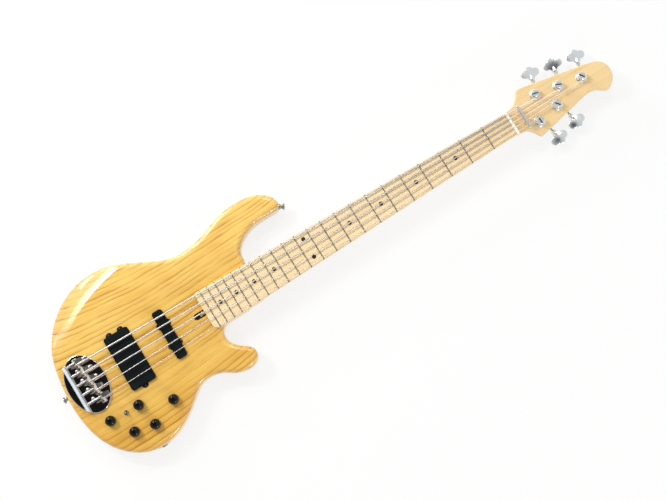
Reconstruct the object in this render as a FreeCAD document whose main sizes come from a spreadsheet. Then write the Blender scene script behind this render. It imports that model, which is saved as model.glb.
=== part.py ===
import FreeCAD, Part
import math
import os
from types import SimpleNamespace

# Five-string electric bass guitar, lying on its back, in millimetres.
# X runs from the bridge end of the scale to the headstock, Y to the bass side, Z up out of the face.

V = FreeCAD.Vector
Rotation = FreeCAD.Rotation
Placement = FreeCAD.Placement
X_AXIS = V(1, 0, 0)
Y_AXIS = V(0, 1, 0)
Z_AXIS = V(0, 0, 1)

# Driving dimensions
SIZES = {
    "scale_length": 889.0,
    "pitch_at_bridge": 19.0,
    "pitch_at_nut": 9.3,
    "gauge_b": 3.2,
    "gauge_e": 2.65,
    "gauge_a": 2.15,
    "gauge_d": 1.65,
    "gauge_g": 1.15,
    "body_thickness": 44.5,
    "edge_round": 9.5,
    "bevel_centre_x": 187.0,
    "bevel_centre_y": -165.0,
    "bevel_radius": 318.0,
    "bevel_slope": 16.0,
    "bevel_width": 90.0,
    "bevel_start": 80.0,
    "bevel_sweep": 68.0,
    "bevel_round": 6.0,
    "neck_pocket_depth": 16.0,
    "heel_x": 238.5,
    "heel_length": 102.0,
    "heel_width": 76.0,
    "nut_width": 44.5,
    "bass_corner": 4.0,
    "treble_corner": 11.0,
    "board_rise": 9.5,
    "board_thickness": 6.5,
    "board_radius": 254.0,
    "shaft_depth_heel": 17.5,
    "shaft_depth_nut": 15.0,
    "shaft_side": 1.5,
    "head_drop": 6.5,
    "head_thickness": 15.5,
    "head_edge_round": 2.0,
    "throat_length": 34.0,
    "fret_width": 2.6,
    "fret_height": 1.2,
    "fret_tang": 0.6,
    "tang_depth": 2.2,
    "marker_diameter": 7.9,
    "marker_depth": 2.0,
    "marker_pair_pitch": 37.4,
    "nut_thickness": 4.2,
    "nut_lift": 0.4,
    "bridge_action": 4.2,
    "slot_clearance": 0.06,
    "rod_diameter": 6.0,
    "rod_end": 868.0,
    "rod_depth": 9.0,
    "rod_nut_diameter": 10.0,
    "rod_nut_length": 11.0,
    "access_length": 23.0,
    "access_width": 12.0,
    "bolt_row_near": 257.0,
    "bolt_row_far": 301.0,
    "bolt_pitch": 40.0,
    "bolt_diameter": 4.8,
    "bolt_bite": 13.0,
    "bolt_head_diameter": 9.6,
    "bolt_head_height": 3.0,
    "ferrule_diameter": 14.0,
    "ferrule_height": 4.5,
    "plate_centre_x": -7.3,
    "plate_length": 75.5,
    "plate_width": 112.8,
    "plate_thickness": 3.5,
    "plate_round": 1.4,
    "wall_back_x": -31.5,
    "wall_thickness": 6.0,
    "wall_height": 10.0,
    "wall_round": 1.6,
    "saddle_b_x": -6.0,
    "saddle_step_x": 2.6,
    "saddle_width": 18.4,
    "saddle_shift": 2.9,
    "saddle_length": 9.0,
    "saddle_float": 1.2,
    "saddle_rear_slope": 46.0,
    "saddle_front_drop": 1.8,
    "saddle_boss_length": 9.5,
    "saddle_boss_width": 7.4,
    "saddle_boss_height": 6.6,
    "saddle_travel": 8.0,
    "saddle_string_gap": 0.3,
    "height_screw_diameter": 3.0,
    "height_screw_inset": 2.4,
    "intonation_shift": 5.8,
    "intonation_rise": 4.4,
    "intonation_diameter": 3.4,
    "intonation_head": 5.4,
    "intonation_head_length": 2.4,
    "intonation_tip_x": 17.0,
    "string_hole_b_x": -17.5,
    "string_hole_step_x": 1.75,
    "string_hole_diameter": 4.4,
    "saddle_bend": 4.0,
    "string_ferrule_diameter": 9.5,
    "string_ferrule_height": 12.0,
    "ball_diameter": 6.0,
    "bridge_screw_x": -11.5,
    "bridge_screw_head": 7.0,
    "bridge_screw_diameter": 3.4,
    "bridge_screw_length": 20.0,
    "bridge_screw_dome": 0.6,
    "running_gap": 0.06,
    "fit_gap": 0.2,
    "tip_flat": 0.4,
    "pickup_gap": 0.4,
    "pickup_wall": 1.6,
    "pickup_rise": 6.5,
    "pickup_depth": 15.0,
    "pickup_cavity_depth": 20.0,
    "pickup_top_round": 1.6,
    "ear_seat_depth": 2.0,
    "ear_thickness": 3.4,
    "wide_pickup_x": 80.5,
    "wide_pickup_y": -0.7,
    "wide_pickup_length": 48.6,
    "wide_pickup_width": 107.5,
    "wide_pickup_corner": 4.5,
    "wide_ear_radius": 6.0,
    "wide_ear_spread": 23.0,
    "slim_pickup_x": 163.7,
    "slim_pickup_y": -0.4,
    "slim_pickup_length": 20.0,
    "slim_pickup_width": 96.5,
    "slim_pickup_corner": 5.0,
    "slim_ear_radius": 5.6,
    "slim_ear_reach": 8.5,
    "slim_ear_spread": 41.0,
    "pickup_screw_diameter": 2.4,
    "pickup_screw_head": 4.0,
    "pickup_screw_clear": 0.3,
    "pickup_screw_length": 16.0,
    "coil_wall_gap": 2.4,
    "coil_height": 12.0,
    "cavity_reach": 15.0,
    "cover_reach": 20.0,
    "cover_thickness": 2.5,
    "roof_thickness": 6.5,
    "cover_screw_diameter": 2.6,
    "cover_screw_head": 5.2,
    "cover_screw_length": 12.0,
    "pot_diameter": 17.0,
    "pot_height": 10.0,
    "pot_bushing_diameter": 9.4,
    "pot_bushing_rise": 5.0,
    "pot_shaft_diameter": 6.0,
    "pot_shaft_rise": 12.0,
    "pot_nut_diameter": 12.5,
    "pot_nut_height": 2.4,
    "knob_diameter": 19.6,
    "knob_height": 15.0,
    "knob_lift": 1.0,
    "knob_side": 7.0,
    "knob_recess_diameter": 14.4,
    "knob_recess_depth": 5.5,
    "knob_edge_round": 0.8,
    "switch_x": 26.5,
    "switch_y": -80.5,
    "switch_case_length": 13.0,
    "switch_case_width": 8.0,
    "switch_case_height": 10.0,
    "switch_bushing_diameter": 6.4,
    "switch_bushing_rise": 5.5,
    "switch_bore_diameter": 5.4,
    "switch_nut_diameter": 8.6,
    "switch_nut_height": 2.2,
    "lever_ball_diameter": 5.0,
    "lever_root_diameter": 2.2,
    "lever_tip_diameter": 3.0,
    "lever_length": 15.0,
    "board_plate_length": 52.0,
    "board_plate_width": 46.0,
    "board_plate_thickness": 1.6,
    "board_plate_x": 40.0,
    "board_plate_y": -103.0,
    "battery_length": 48.5,
    "battery_width": 26.5,
    "battery_height": 17.5,
    "battery_x": 62.0,
    "battery_y": -103.0,
    "battery_corner": 2.0,
    "terminal_diameter": 7.0,
    "terminal_height": 2.6,
    "jack_height": 18.0,
    "jack_seat_depth": 2.6,
    "jack_plate_side": 22.0,
    "jack_plate_corner": 5.0,
    "jack_plate_thickness": 2.6,
    "jack_collar_diameter": 11.5,
    "jack_collar_height": 1.6,
    "jack_channel_corner": 4.0,
    "jack_barrel_diameter": 15.0,
    "jack_barrel_length": 38.0,
    "jack_bore_diameter": 6.5,
    "jack_bore_length": 34.0,
    "strap_base_diameter": 11.0,
    "strap_waist_diameter": 7.6,
    "strap_head_diameter": 13.0,
    "strap_length": 10.0,
    "strap_seat_depth": 1.4,
    "strap_seat_gap": 0.6,
    "strap_height": 22.0,
    "strap_tail_y": -1.0,
    "strap_horn_turn": -30.0,
    "strap_screw_diameter": 3.4,
    "strap_screw_length": 26.0,
    "strap_screw_head": 5.6,
    "bar_gap_x": 27.0,
    "bar_length": 46.6,
    "bar_width": 5.0,
    "bar_height": 4.0,
    "bar_lift": 10.5,
    "bar_screw_pitch": 27.1,
    "bar_leg_diameter": 5.0,
    "bar_screw_diameter": 2.8,
    "bar_screw_head": 4.2,
    "bar_screw_bite": 10.0,
    "bass_row_x": 68.9,
    "bass_row_y": 24.3,
    "bass_row_turn": -10.8,
    "bass_row_pitch": 45.2,
    "treble_row_x": 48.9,
    "treble_row_y": -22.5,
    "treble_row_turn": 11.8,
    "treble_row_pitch": 44.3,
    "bushing_diameter": 16.4,
    "bushing_flange": 20.6,
    "bushing_flange_height": 2.4,
    "post_diameter": 12.0,
    "post_waist_diameter": 10.4,
    "post_cap_diameter": 13.6,
    "post_cap_height": 2.2,
    "post_rise": 13.8,
    "post_slot_width": 2.6,
    "post_slot_depth": 5.0,
    "post_foot": 8.5,
    "winding_gap": 0.3,
    "winding_step": 0.9,
    "housing_back": 10.5,
    "housing_front": 21.0,
    "housing_inner": 11.5,
    "housing_outer": 14.0,
    "housing_height": 12.0,
    "housing_corner": 5.0,
    "housing_round": 2.0,
    "housing_tab_reach": 6.0,
    "housing_tab_thickness": 2.6,
    "worm_offset": 10.5,
    "worm_drop": 6.2,
    "collar_diameter": 9.0,
    "collar_length": 4.5,
    "stem_diameter": 5.4,
    "stem_bite": 9.0,
    "key_centre": 46.0,
    "key_neck_start": 27.0,
    "key_span": 21.0,
    "key_lobe_radius": 8.0,
    "key_top_lobe_radius": 9.0,
    "key_top_lobe_rise": 2.5,
    "key_side_lobe_rise": -1.0,
    "key_neck_width": 9.0,
    "key_thickness": 4.4,
    "key_round": 1.5,
    "tuner_screw_diameter": 2.4,
    "tuner_screw_head": 4.6,
    "tuner_screw_bite": 9.0,
}

# Knots of the body's outline, anticlockwise: place and heading in degrees
BODY_KNOTS = {
    "lower_cut": (246.3, -57.0, 90.0),
    "heel_treble": (266.0, -36.5, 0.0),
    "heel_corner": (304.0, -36.5, 0.0),
    "heel_end": (318.0, -22.5, 90.0),
    "upper_cut": (347.3, 50.0, 90.0),
    "horn_inside": (374.0, 83.0, 26.0),
    "horn_under": (443.0, 91.6, 0.0),
    "horn_tip": (454.0, 102.6, 90.0),
    "horn_shoulder": (437.5, 129.5, 144.0),
    "horn_top": (388.0, 143.0, 180.0),
    "bass_waist": (254.0, 115.8, 180.0),
    "bass_slope": (186.0, 139.7, 151.0),
    "bass_bout": (93.0, 170.3, 180.0),
    "bass_shoulder": (-14.2, 117.8, 230.6),
    "tail": (-52.7, -20.0, 270.0),
    "tail_corner": (-26.0, -120.0, 304.0),
    "treble_bout": (52.0, -165.0, 0.0),
    "treble_slope": (125.5, -136.5, 37.5),
    "treble_waist": (184.0, -103.8, 0.0),
    "lower_horn_base": (256.0, -128.3, 0.0),
    "lower_horn_tip": (281.3, -107.0, 90.0),
    "lower_horn_inside": (269.0, -89.5, 146.0),
}

# Knots of the headstock's outline, measured from the nut's front edge, anticlockwise
HEAD_KNOTS = {
    "head_treble_start": (22.0, -23.6, -26.0),
    "treble_flare": (30.0, -31.6, -54.0),
    "treble_corner_in": (38.0, -44.6, -60.0),
    "treble_corner_out": (42.6, -46.6, 12.2),
    "treble_edge_end": (139.0, -25.8, 12.2),
    "hook_hollow": (156.0, -23.3, 0.0),
    "hook_slope": (173.0, -27.2, -30.0),
    "hook_corner_in": (185.5, -35.8, -36.0),
    "hook_corner_out": (191.5, -36.6, 24.0),
    "head_tip": (212.5, -6.0, 90.0),
    "tip_shoulder": (200.0, 17.2, 150.0),
    "bass_edge_start": (173.0, 25.6, 169.0),
    "bass_edge_end": (58.0, 48.6, 169.0),
    "bass_corner_top": (46.5, 49.8, 184.0),
    "bass_corner_side": (38.5, 43.2, 237.0),
    "bass_flare": (29.5, 33.0, 222.0),
    "head_bass_start": (22.0, 27.4, 207.0),
}

# Places of the five knobs on the body's face
KNOB_PLACES = {
    "volume": (-4.6, -78.7),
    "blend": (52.6, -80.5),
    "treble": (111.0, -104.6),
    "middle": (60.9, -125.4),
    "bass": (22.4, -117.6),
}

STRINGS = ("b", "e", "a", "d", "g")
WINDING_QUARTERS = {"b": 4, "e": 5, "a": 7, "d": 9, "g": 10}
KEY_TILTS = {"b": 8.0, "e": -11.0, "a": 6.0, "d": -7.0, "g": -5.0}
SLOT_TURNS = {"b": -14.0, "e": -28.0, "a": -56.0, "d": -52.0, "g": -88.0}
FRET_COUNT = 22
SINGLE_MARKERS = (3, 5, 7, 9, 15, 17, 19, 21)
DOUBLE_MARKER = 12

doc = FreeCAD.newDocument("bass_guitar")
sheet = doc.addObject("Spreadsheet::Sheet", "Sizes")


def fill_sheet():
    """Write every driving dimension to the sheet, one row each, under its own alias."""
    cells = dict(SIZES)
    for knots in (BODY_KNOTS, HEAD_KNOTS):
        for knot, (x, y, heading) in knots.items():
            cells[knot + "_x"] = x
            cells[knot + "_y"] = y
            cells[knot + "_heading"] = heading
    for knob, (x, y) in KNOB_PLACES.items():
        cells[knob + "_knob_x"] = x
        cells[knob + "_knob_y"] = y
    for row, (alias, value) in enumerate(cells.items(), start=1):
        sheet.set("A%d" % row, alias)
        sheet.set("B%d" % row, str(value))
        sheet.setAlias("B%d" % row, alias)
    doc.recompute()
    return SimpleNamespace(**{alias: float(sheet.get(alias)) for alias in cells})


s = fill_sheet()

# Heights that several pieces share
FACE = s.body_thickness
POCKET_FLOOR = FACE - s.neck_pocket_depth
CROWN = FACE + s.board_rise
GLUE = CROWN - s.board_thickness
HEAD_FACE = GLUE - s.head_drop
HEAD_BACK = HEAD_FACE - s.head_thickness
PLATE_TOP = FACE + s.plate_thickness
ROOF = FACE - s.roof_thickness
BUSHING_TOP = HEAD_FACE + s.bushing_flange_height
BAR_X = s.scale_length + s.bar_gap_x
BAR_BOTTOM = HEAD_FACE + s.bar_lift
WORM_Z = HEAD_BACK - s.worm_drop

nodes = []


def node(piece, label):
    """Name a finished sub-part and list it for export."""
    piece.Label = label
    nodes.append(piece)
    return piece


def bind(piece, **cells):
    """Bind properties of an object to cells or formulas of the sheet."""
    for prop, formula in cells.items():
        piece.setExpression(prop, formula)


def heading_vector(degrees):
    return V(math.cos(math.radians(degrees)), math.sin(math.radians(degrees)), 0)


def tangent_arc(start, direction, end):
    """Arc from start to end that leaves start along direction, or a line where they agree."""
    chord = end - start
    half = direction.getAngle(chord)
    if half < 1e-5:
        return Part.LineSegment(start, end)
    side = direction - chord * (direction.dot(chord) / chord.dot(chord))
    side.normalize()
    middle = (start + end) * 0.5 + side * (chord.Length / 2 * math.tan(half / 2))
    return Part.Arc(start, middle, end)


def biarc(start, start_direction, end, end_direction):
    """Two arcs that join smoothly and keep both end directions."""
    chord = end - start
    square = 2 * (1 - start_direction.dot(end_direction))
    linear = 2 * chord.dot(start_direction + end_direction)
    constant = -chord.dot(chord)
    if square < 1e-9:
        reach = -constant / linear
    else:
        reach = (-linear + math.sqrt(linear * linear - 4 * square * constant)) / (2 * square)
    first = start + start_direction * reach
    second = end - end_direction * reach
    joint = (first + second) * 0.5
    direction = second - first
    direction.normalize()
    return [tangent_arc(start, start_direction, joint), tangent_arc(joint, direction, end)]


def knot_outline(names, shift_x=0.0, straight_end=False):
    """Closed outline of biarcs through named knots of the sheet, its last side straight if asked."""
    knots = []
    for name in names:
        place = V(getattr(s, name + "_x") + shift_x, getattr(s, name + "_y"), 0)
        knots.append((place, heading_vector(getattr(s, name + "_heading"))))
    curves = []
    followers = knots[1:] if straight_end else knots[1:] + knots[:1]
    for (start, leaving), (end, arriving) in zip(knots, followers):
        curves += biarc(start, leaving, end, arriving)
    if straight_end:
        curves.append(Part.LineSegment(knots[-1][0], knots[0][0]))
    return curves


def polygon(points):
    """Closed outline of straight lines."""
    corners = [V(x, y, 0) for x, y in points]
    return [Part.LineSegment(a, b) for a, b in zip(corners, corners[1:] + corners[:1])]


def rounded_polygon(corners):
    """Closed outline of (x, y, radius) corners, each rounded by its own arc."""
    count = len(corners)
    curves = []
    ends = []
    for index, (x, y, radius) in enumerate(corners):
        here = V(x, y, 0)
        before = V(*corners[index - 1][:2], 0) - here
        after = V(*corners[(index + 1) % count][:2], 0) - here
        before.normalize()
        after.normalize()
        half = before.getAngle(after) / 2
        reach = radius / math.tan(half)
        start = here + before * reach
        end = here + after * reach
        bisector = before + after
        bisector.normalize()
        middle = here + bisector * (radius / math.sin(half) - radius)
        ends.append((start, middle, end))
    for index, (start, middle, end) in enumerate(ends):
        if corners[index][2] > 0:
            curves.append(Part.Arc(start, middle, end))
        next_start = ends[(index + 1) % count][0]
        if (next_start - end).Length > 1e-6:
            curves.append(Part.LineSegment(end, next_start))
    return curves


def rounded_box(x, y, length, width, corner):
    """Rounded rectangle about a centre."""
    left, right = x - length / 2, x + length / 2
    low, high = y - width / 2, y + width / 2
    return rounded_polygon([(left, low, corner), (right, low, corner), (right, high, corner), (left, high, corner)])


def circle(x, y, radius):
    return Part.Circle(V(x, y, 0), Z_AXIS, radius)


def belt(centres, radius):
    """Outline of a belt stretched round equal discs at a convex ring of centres."""
    ring = [V(x, y, 0) for x, y in centres]
    count = len(ring)
    normals = []
    for here, there in zip(ring, ring[1:] + ring[:1]):
        along = there - here
        along.normalize()
        normals.append(V(along.y, -along.x, 0))
    curves = []
    for index, here in enumerate(ring):
        before, after = normals[index - 1], normals[index]
        between = before + after
        between.normalize()
        curves.append(Part.Arc(here + before * radius, here + between * radius, here + after * radius))
        there = ring[(index + 1) % count]
        curves.append(Part.LineSegment(here + after * radius, there + after * radius))
    return curves


def new_body(name):
    return doc.addObject("PartDesign::Body", name)


def sketch(body, name, role, curves, offset=None):
    """Sketch on one of the body's own origin planes, moved by an offset."""
    drawing = body.newObject("Sketcher::SketchObject", name)
    plane = next(feature for feature in body.Origin.OriginFeatures if feature.Role == role)
    drawing.AttachmentSupport = (plane, [""])
    drawing.MapMode = "FlatFace"
    if offset is not None:
        drawing.AttachmentOffset = offset
    drawing.addGeometry(curves, False)
    return drawing


def level(height):
    """Offset of a sketch to a height above the XY plane."""
    return Placement(V(0, 0, height), Rotation())


def pad(body, name, drawing, length, **cells):
    feature = body.newObject("PartDesign::Pad", name)
    feature.Profile = drawing
    feature.Length = length
    bind(feature, **cells)
    doc.recompute()
    return feature


def pocket(body, name, drawing, depth, upward=False, **cells):
    """Cut a drawing into the body and check that it took something away."""
    before = body.Shape.Volume
    feature = body.newObject("PartDesign::Pocket", name)
    feature.Profile = drawing
    feature.Length = depth
    feature.Reversed = upward
    bind(feature, **cells)
    doc.recompute()
    if not body.Shape.Volume < before:
        raise RuntimeError(name + " cut nothing")
    return feature


def bore(body, name, radius, length, place):
    """Round hole along the local Z axis of a placement."""
    before = body.Shape.Volume
    feature = body.newObject("PartDesign::SubtractiveCylinder", name)
    feature.Radius = radius
    feature.Height = length
    feature.Placement = place
    doc.recompute()
    if not body.Shape.Volume < before:
        raise RuntimeError(name + " cut nothing")
    return feature


def fillet(body, name, base, edges, radius_formula):
    """Round the chosen edges of a feature."""
    names = []
    for index, edge in enumerate(base.Shape.Edges, start=1):
        if any(edge.isSame(chosen) for chosen in edges):
            names.append("Edge%d" % index)
    feature = body.newObject("PartDesign::Fillet", name)
    feature.Base = (base, names)
    bind(feature, Radius=radius_formula)
    doc.recompute()
    return feature


def edges_at_height(shape, height):
    """Edges that lie in one horizontal plane."""
    return [e for e in shape.Edges if abs(e.BoundBox.ZMin - height) < 1e-4 and abs(e.BoundBox.ZMax - height) < 1e-4]


def turned(name, profile):
    """Body of revolution about Z from a closed profile of (radius, height) points and arcs."""
    body = new_body(name)
    curves = []
    profile = flat_tips(profile)
    places = [point[-1] for point in profile]
    for index, point in enumerate(profile):
        start = V(*places[index - 1], 0)
        end = V(*places[index], 0)
        if len(point) == 2:
            curves.append(Part.Arc(start, V(*point[0], 0), end))
        else:
            curves.append(Part.LineSegment(start, end))
    drawing = sketch(body, name + "_profile", "XZ_Plane", curves)
    feature = body.newObject("PartDesign::Revolution", name + "_turned")
    feature.Profile = drawing
    feature.ReferenceAxis = (drawing, ["V_Axis"])
    feature.Angle = 360
    doc.recompute()
    return body


def flat_tips(profile):
    """End each arc that runs to the axis on a tiny flat, so that no face closes to a point."""
    steps = []
    for point in profile:
        if len(point) == 2 and point[1][0] == 0:
            steps.append((point[0], (s.tip_flat, point[1][1])))
            steps.append((point[1],))
        else:
            steps.append(point)
    return steps


def lathe(*points):
    """Profile of straight cuts for a turned piece."""
    return [(point,) for point in points]


def copies(label, masters_and_places):
    """Group of separate solids: copies of master pieces, each at its own placement."""
    solids = []
    for master, place in masters_and_places:
        solid = master.Shape.copy()
        solid.Placement = place.multiply(solid.Placement)
        solids.append(solid)
    group = doc.addObject("Part::Feature", label)
    group.Shape = Part.makeCompound(solids)
    return node(group, label)


def along(direction):
    """Rotation that turns the local Z axis to a direction."""
    return Rotation(Z_AXIS, direction)


def at(x, y, z, rotation=None):
    return Placement(V(x, y, z), rotation or Rotation())


# Shared geometry of the strings, neck and tuners

def gauge(string):
    return getattr(s, "gauge_" + string)


def half_neck(x):
    """Half the width of the neck at a station along it."""
    share = (x - s.heel_x) / (s.scale_length - s.heel_x)
    return (s.heel_width + (s.nut_width - s.heel_width) * share) / 2


def fret_x(number):
    return s.scale_length * 2 ** (-number / 12)


def board_top(y):
    """Height of the rounded fingerboard at a distance from its centre line."""
    return CROWN - s.board_radius + math.sqrt(s.board_radius ** 2 - y ** 2)


def string_offset(string, pitch):
    return (2 - STRINGS.index(string)) * pitch


def bridge_y(string):
    return string_offset(string, s.pitch_at_bridge)


def nut_y(string):
    return string_offset(string, s.pitch_at_nut)


def nut_z(string):
    """Height of a string's centre where it leaves the nut."""
    return board_top(nut_y(string)) + s.fret_height + s.nut_lift + gauge(string) / 2


def saddle_z(string):
    """Height of a string's centre line over the end of the scale."""
    return board_top(bridge_y(string)) + s.fret_height + s.bridge_action + gauge(string) / 2


def saddle_x(string):
    return s.saddle_b_x + s.saddle_step_x * STRINGS.index(string)


def string_hole_x(string):
    return s.string_hole_b_x + s.string_hole_step_x * STRINGS.index(string)


def tuner_row(string):
    """Row values of a string's tuner: start, turn, step along the row and side."""
    bass_side = ("b", "e", "a")
    if string in bass_side:
        row = (s.bass_row_x, s.bass_row_y, s.bass_row_turn, s.bass_row_pitch)
        return row + (bass_side.index(string), 1)
    row = (s.treble_row_x, s.treble_row_y, s.treble_row_turn, s.treble_row_pitch)
    return row + (("g", "d").index(string), -1)


def tuner_side(string):
    return tuner_row(string)[5]


def tuner_place(string, height):
    """Frame of a tuner: X along the headstock's edge to the tip, origin on the post's axis."""
    x, y, turn, pitch, step, _ = tuner_row(string)
    spot = V(s.scale_length + x, y, height) + heading_vector(turn) * (pitch * step)
    return Placement(spot, Rotation(Z_AXIS, turn))


def winding_radius(string):
    return s.post_waist_diameter / 2 + s.winding_gap + gauge(string) / 2


def bolt_places():
    return [(x, side * s.bolt_pitch / 2) for x in (s.bolt_row_near, s.bolt_row_far) for side in (-1, 1)]


def bridge_screw_places():
    rows = (1.5, 0.5, -0.5, -1.5)
    return [(s.bridge_screw_x, row * s.pitch_at_bridge) for row in rows]


def knob_place(knob):
    return getattr(s, knob + "_knob_x"), getattr(s, knob + "_knob_y")


def cavity_ring():
    """Knobs in convex order round the control cavity."""
    return [knob_place(knob) for knob in ("volume", "bass", "middle", "treble", "blend")]


def cover_screw_places():
    """Screws at the middle of the cover's straight sides, halfway across its ledge."""
    ring = cavity_ring()
    reach = (s.cavity_reach + s.cover_reach) / 2
    places = []
    for (x0, y0), (x1, y1) in zip(ring, ring[1:] + ring[:1]):
        run = V(x1 - x0, y1 - y0, 0)
        run.normalize()
        places.append(((x0 + x1) / 2 + run.y * reach, (y0 + y1) / 2 - run.x * reach))
    return places


def wide_ear_places():
    """Screw ears of the bridge pickup: two on the bass side and one on the treble side."""
    high = s.wide_pickup_y + s.wide_pickup_width / 2
    low = s.wide_pickup_y - s.wide_pickup_width / 2
    near = s.wide_pickup_x - s.wide_ear_spread / 2
    far = s.wide_pickup_x + s.wide_ear_spread / 2
    return [(near, high), (far, high), (s.wide_pickup_x, low)]


def slim_ear_places():
    """Screw lobes of the neck pickup: two on each long side."""
    spots = []
    for side in (-1, 1):
        for end in (-1, 1):
            spots.append((s.slim_pickup_x + side * s.slim_ear_reach, s.slim_pickup_y + end * s.slim_ear_spread / 2))
    return spots


def bar_screw_places():
    return [(BAR_X, side * s.bar_screw_pitch / 2) for side in (-1, 1)]


def tuner_screw_places(string):
    """Two tabs of a tuner housing, fore and aft of it."""
    reach = s.housing_tab_reach / 2
    return [(-s.housing_back - reach, 0), (s.housing_front + reach, 0)]


def jack_place():
    """Frame of the output jack: local Z points out of the body's side, at the treble bout."""
    outward = heading_vector(s.treble_bout_heading - 90)
    return Placement(V(s.treble_bout_x, s.treble_bout_y, s.jack_height), along(outward))


def strap_places():
    """Frames of the strap buttons at the tail and at the tip of the upper horn."""
    tail = Placement(V(s.tail_x, s.strap_tail_y, s.strap_height), along(V(-1, 0, 0)))
    outward = heading_vector(s.strap_horn_turn)
    round_x = s.horn_tip_x - (s.horn_tip_y - s.horn_under_y)
    corner = V(round_x, s.horn_tip_y, s.strap_height)
    horn = Placement(corner + outward * (s.horn_tip_x - round_x), along(outward))
    return [tail, horn]


def sunk(place, depth):
    """The same frame, moved in along its own Z axis."""
    return place.multiply(Placement(V(0, 0, -depth), Rotation()))


def heel_plan(gap, end_x):
    """Plan of the neck's heel and fingerboard end, grown by a gap."""
    start = s.heel_x - gap
    return rounded_polygon([
        (start, half_neck(start) + gap, s.bass_corner + gap),
        (start, -half_neck(start) - gap, s.treble_corner + gap),
        (end_x, -half_neck(end_x) - gap, 0),
        (end_x, half_neck(end_x) + gap, 0),
    ])


# Body: one slab of ash with rounded edges, a forearm bevel and the cavities for everything it carries

def make_body():
    body = new_body("ash_body")
    outline = sketch(body, "body_outline", "XY_Plane", knot_outline(BODY_KNOTS))
    slab = pad(body, "slab", outline, FACE, Length="Sizes.body_thickness")
    rims = edges_at_height(slab.Shape, 0) + edges_at_height(slab.Shape, FACE)
    fillet(body, "round_over", slab, rims, "Sizes.edge_round")
    bevel_forearm(body)
    cut_top(body)
    cut_back(body)
    cut_sides(body)
    return node(body, "body")


def bevel_forearm(body):
    """Conical bevel for the player's forearm, with its outer edge rounded again."""
    fall = s.bevel_width * math.tan(math.radians(s.bevel_slope))
    wedge = polygon([(s.bevel_radius, FACE), (s.bevel_radius + s.bevel_width, FACE),
                     (s.bevel_radius + s.bevel_width, FACE - fall)])
    turn = Rotation(Y_AXIS, s.bevel_start)
    offset = Placement(V(s.bevel_centre_x, 0, -s.bevel_centre_y), turn)
    drawing = sketch(body, "bevel_profile", "XZ_Plane", wedge, offset)
    before = body.Shape.Volume
    groove = body.newObject("PartDesign::Groove", "forearm_bevel")
    groove.Profile = drawing
    groove.ReferenceAxis = (drawing, ["V_Axis"])
    bind(groove, Angle="Sizes.bevel_sweep")
    doc.recompute()
    print("bevel takes away %.0f cubic mm" % (before - groove.Shape.Volume))
    if not groove.Shape.Volume < before:
        raise RuntimeError("the bevel cut nothing")
    cone = next(face for face in groove.Shape.Faces if face.Surface.TypeId == "Part::GeomCone")
    outer = [edge for edge in cone.Edges if edge.BoundBox.ZMin < FACE - 1e-3]
    fillet(body, "bevel_edge", groove, outer, "Sizes.bevel_round")


def cut_top(body):
    """Cavities and holes that open on the face."""
    top = level(FACE)
    pocket_end = s.upper_cut_x + s.edge_round
    plan = heel_plan(s.fit_gap / 2, pocket_end)
    pocket(body, "neck_pocket", sketch(body, "neck_pocket_plan", "XY_Plane", plan, top), s.neck_pocket_depth,
           Length="Sizes.neck_pocket_depth")
    half = s.access_width / 2
    slot_start = s.heel_x - s.access_length
    slot = rounded_polygon([(slot_start, half, half * 0.98), (slot_start, -half, half * 0.98),
                            (s.heel_x + half, -half, 0), (s.heel_x + half, half, 0)])
    pocket(body, "rod_access", sketch(body, "rod_access_plan", "XY_Plane", slot, top), s.neck_pocket_depth,
           Length="Sizes.neck_pocket_depth")
    gap = s.pickup_gap
    wide = rounded_box(s.wide_pickup_x, s.wide_pickup_y, s.wide_pickup_length + 2 * gap,
                       s.wide_pickup_width + 2 * gap, s.wide_pickup_corner + gap)
    slim = rounded_box(s.slim_pickup_x, s.slim_pickup_y, s.slim_pickup_length + 2 * gap,
                       s.slim_pickup_width + 2 * gap, s.slim_pickup_corner + gap)
    pocket(body, "pickup_cavities", sketch(body, "pickup_plans", "XY_Plane", wide + slim, top), s.pickup_cavity_depth,
           Length="Sizes.pickup_cavity_depth")
    seats = [circle(x, y, s.wide_ear_radius + gap) for x, y in wide_ear_places()]
    seats += [circle(x, y, s.slim_ear_radius + gap) for x, y in slim_ear_places()]
    pocket(body, "ear_seats", sketch(body, "ear_plans", "XY_Plane", seats, top), s.ear_seat_depth,
           Length="Sizes.ear_seat_depth")
    pilots = [circle(x, y, s.pickup_screw_diameter / 2) for x, y in ear_screw_places()]
    pocket(body, "pickup_pilots", sketch(body, "pickup_pilot_plan", "XY_Plane", pilots, top), s.pickup_screw_length)
    screws = [circle(x, y, s.bridge_screw_diameter / 2) for x, y in bridge_screw_places()]
    pocket(body, "bridge_pilots", sketch(body, "bridge_pilot_plan", "XY_Plane", screws, top), s.bridge_screw_length,
           Length="Sizes.bridge_screw_length")
    holes = [circle(string_hole_x(t), bridge_y(t), s.string_hole_diameter / 2) for t in STRINGS]
    pocket(body, "string_holes", sketch(body, "string_hole_plan", "XY_Plane", holes, top), FACE,
           Length="Sizes.body_thickness")


def ear_screw_places():
    """Screws stand on the pickup ears, just clear of the covers' sides."""
    reach = s.pickup_screw_head / 2 + s.pickup_screw_clear
    places = [(x, y + math.copysign(reach, y)) for x, y in wide_ear_places()]
    side = s.slim_pickup_length / 2 + reach
    places += [(s.slim_pickup_x + math.copysign(side, x - s.slim_pickup_x), y) for x, y in slim_ear_places()]
    return places


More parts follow.
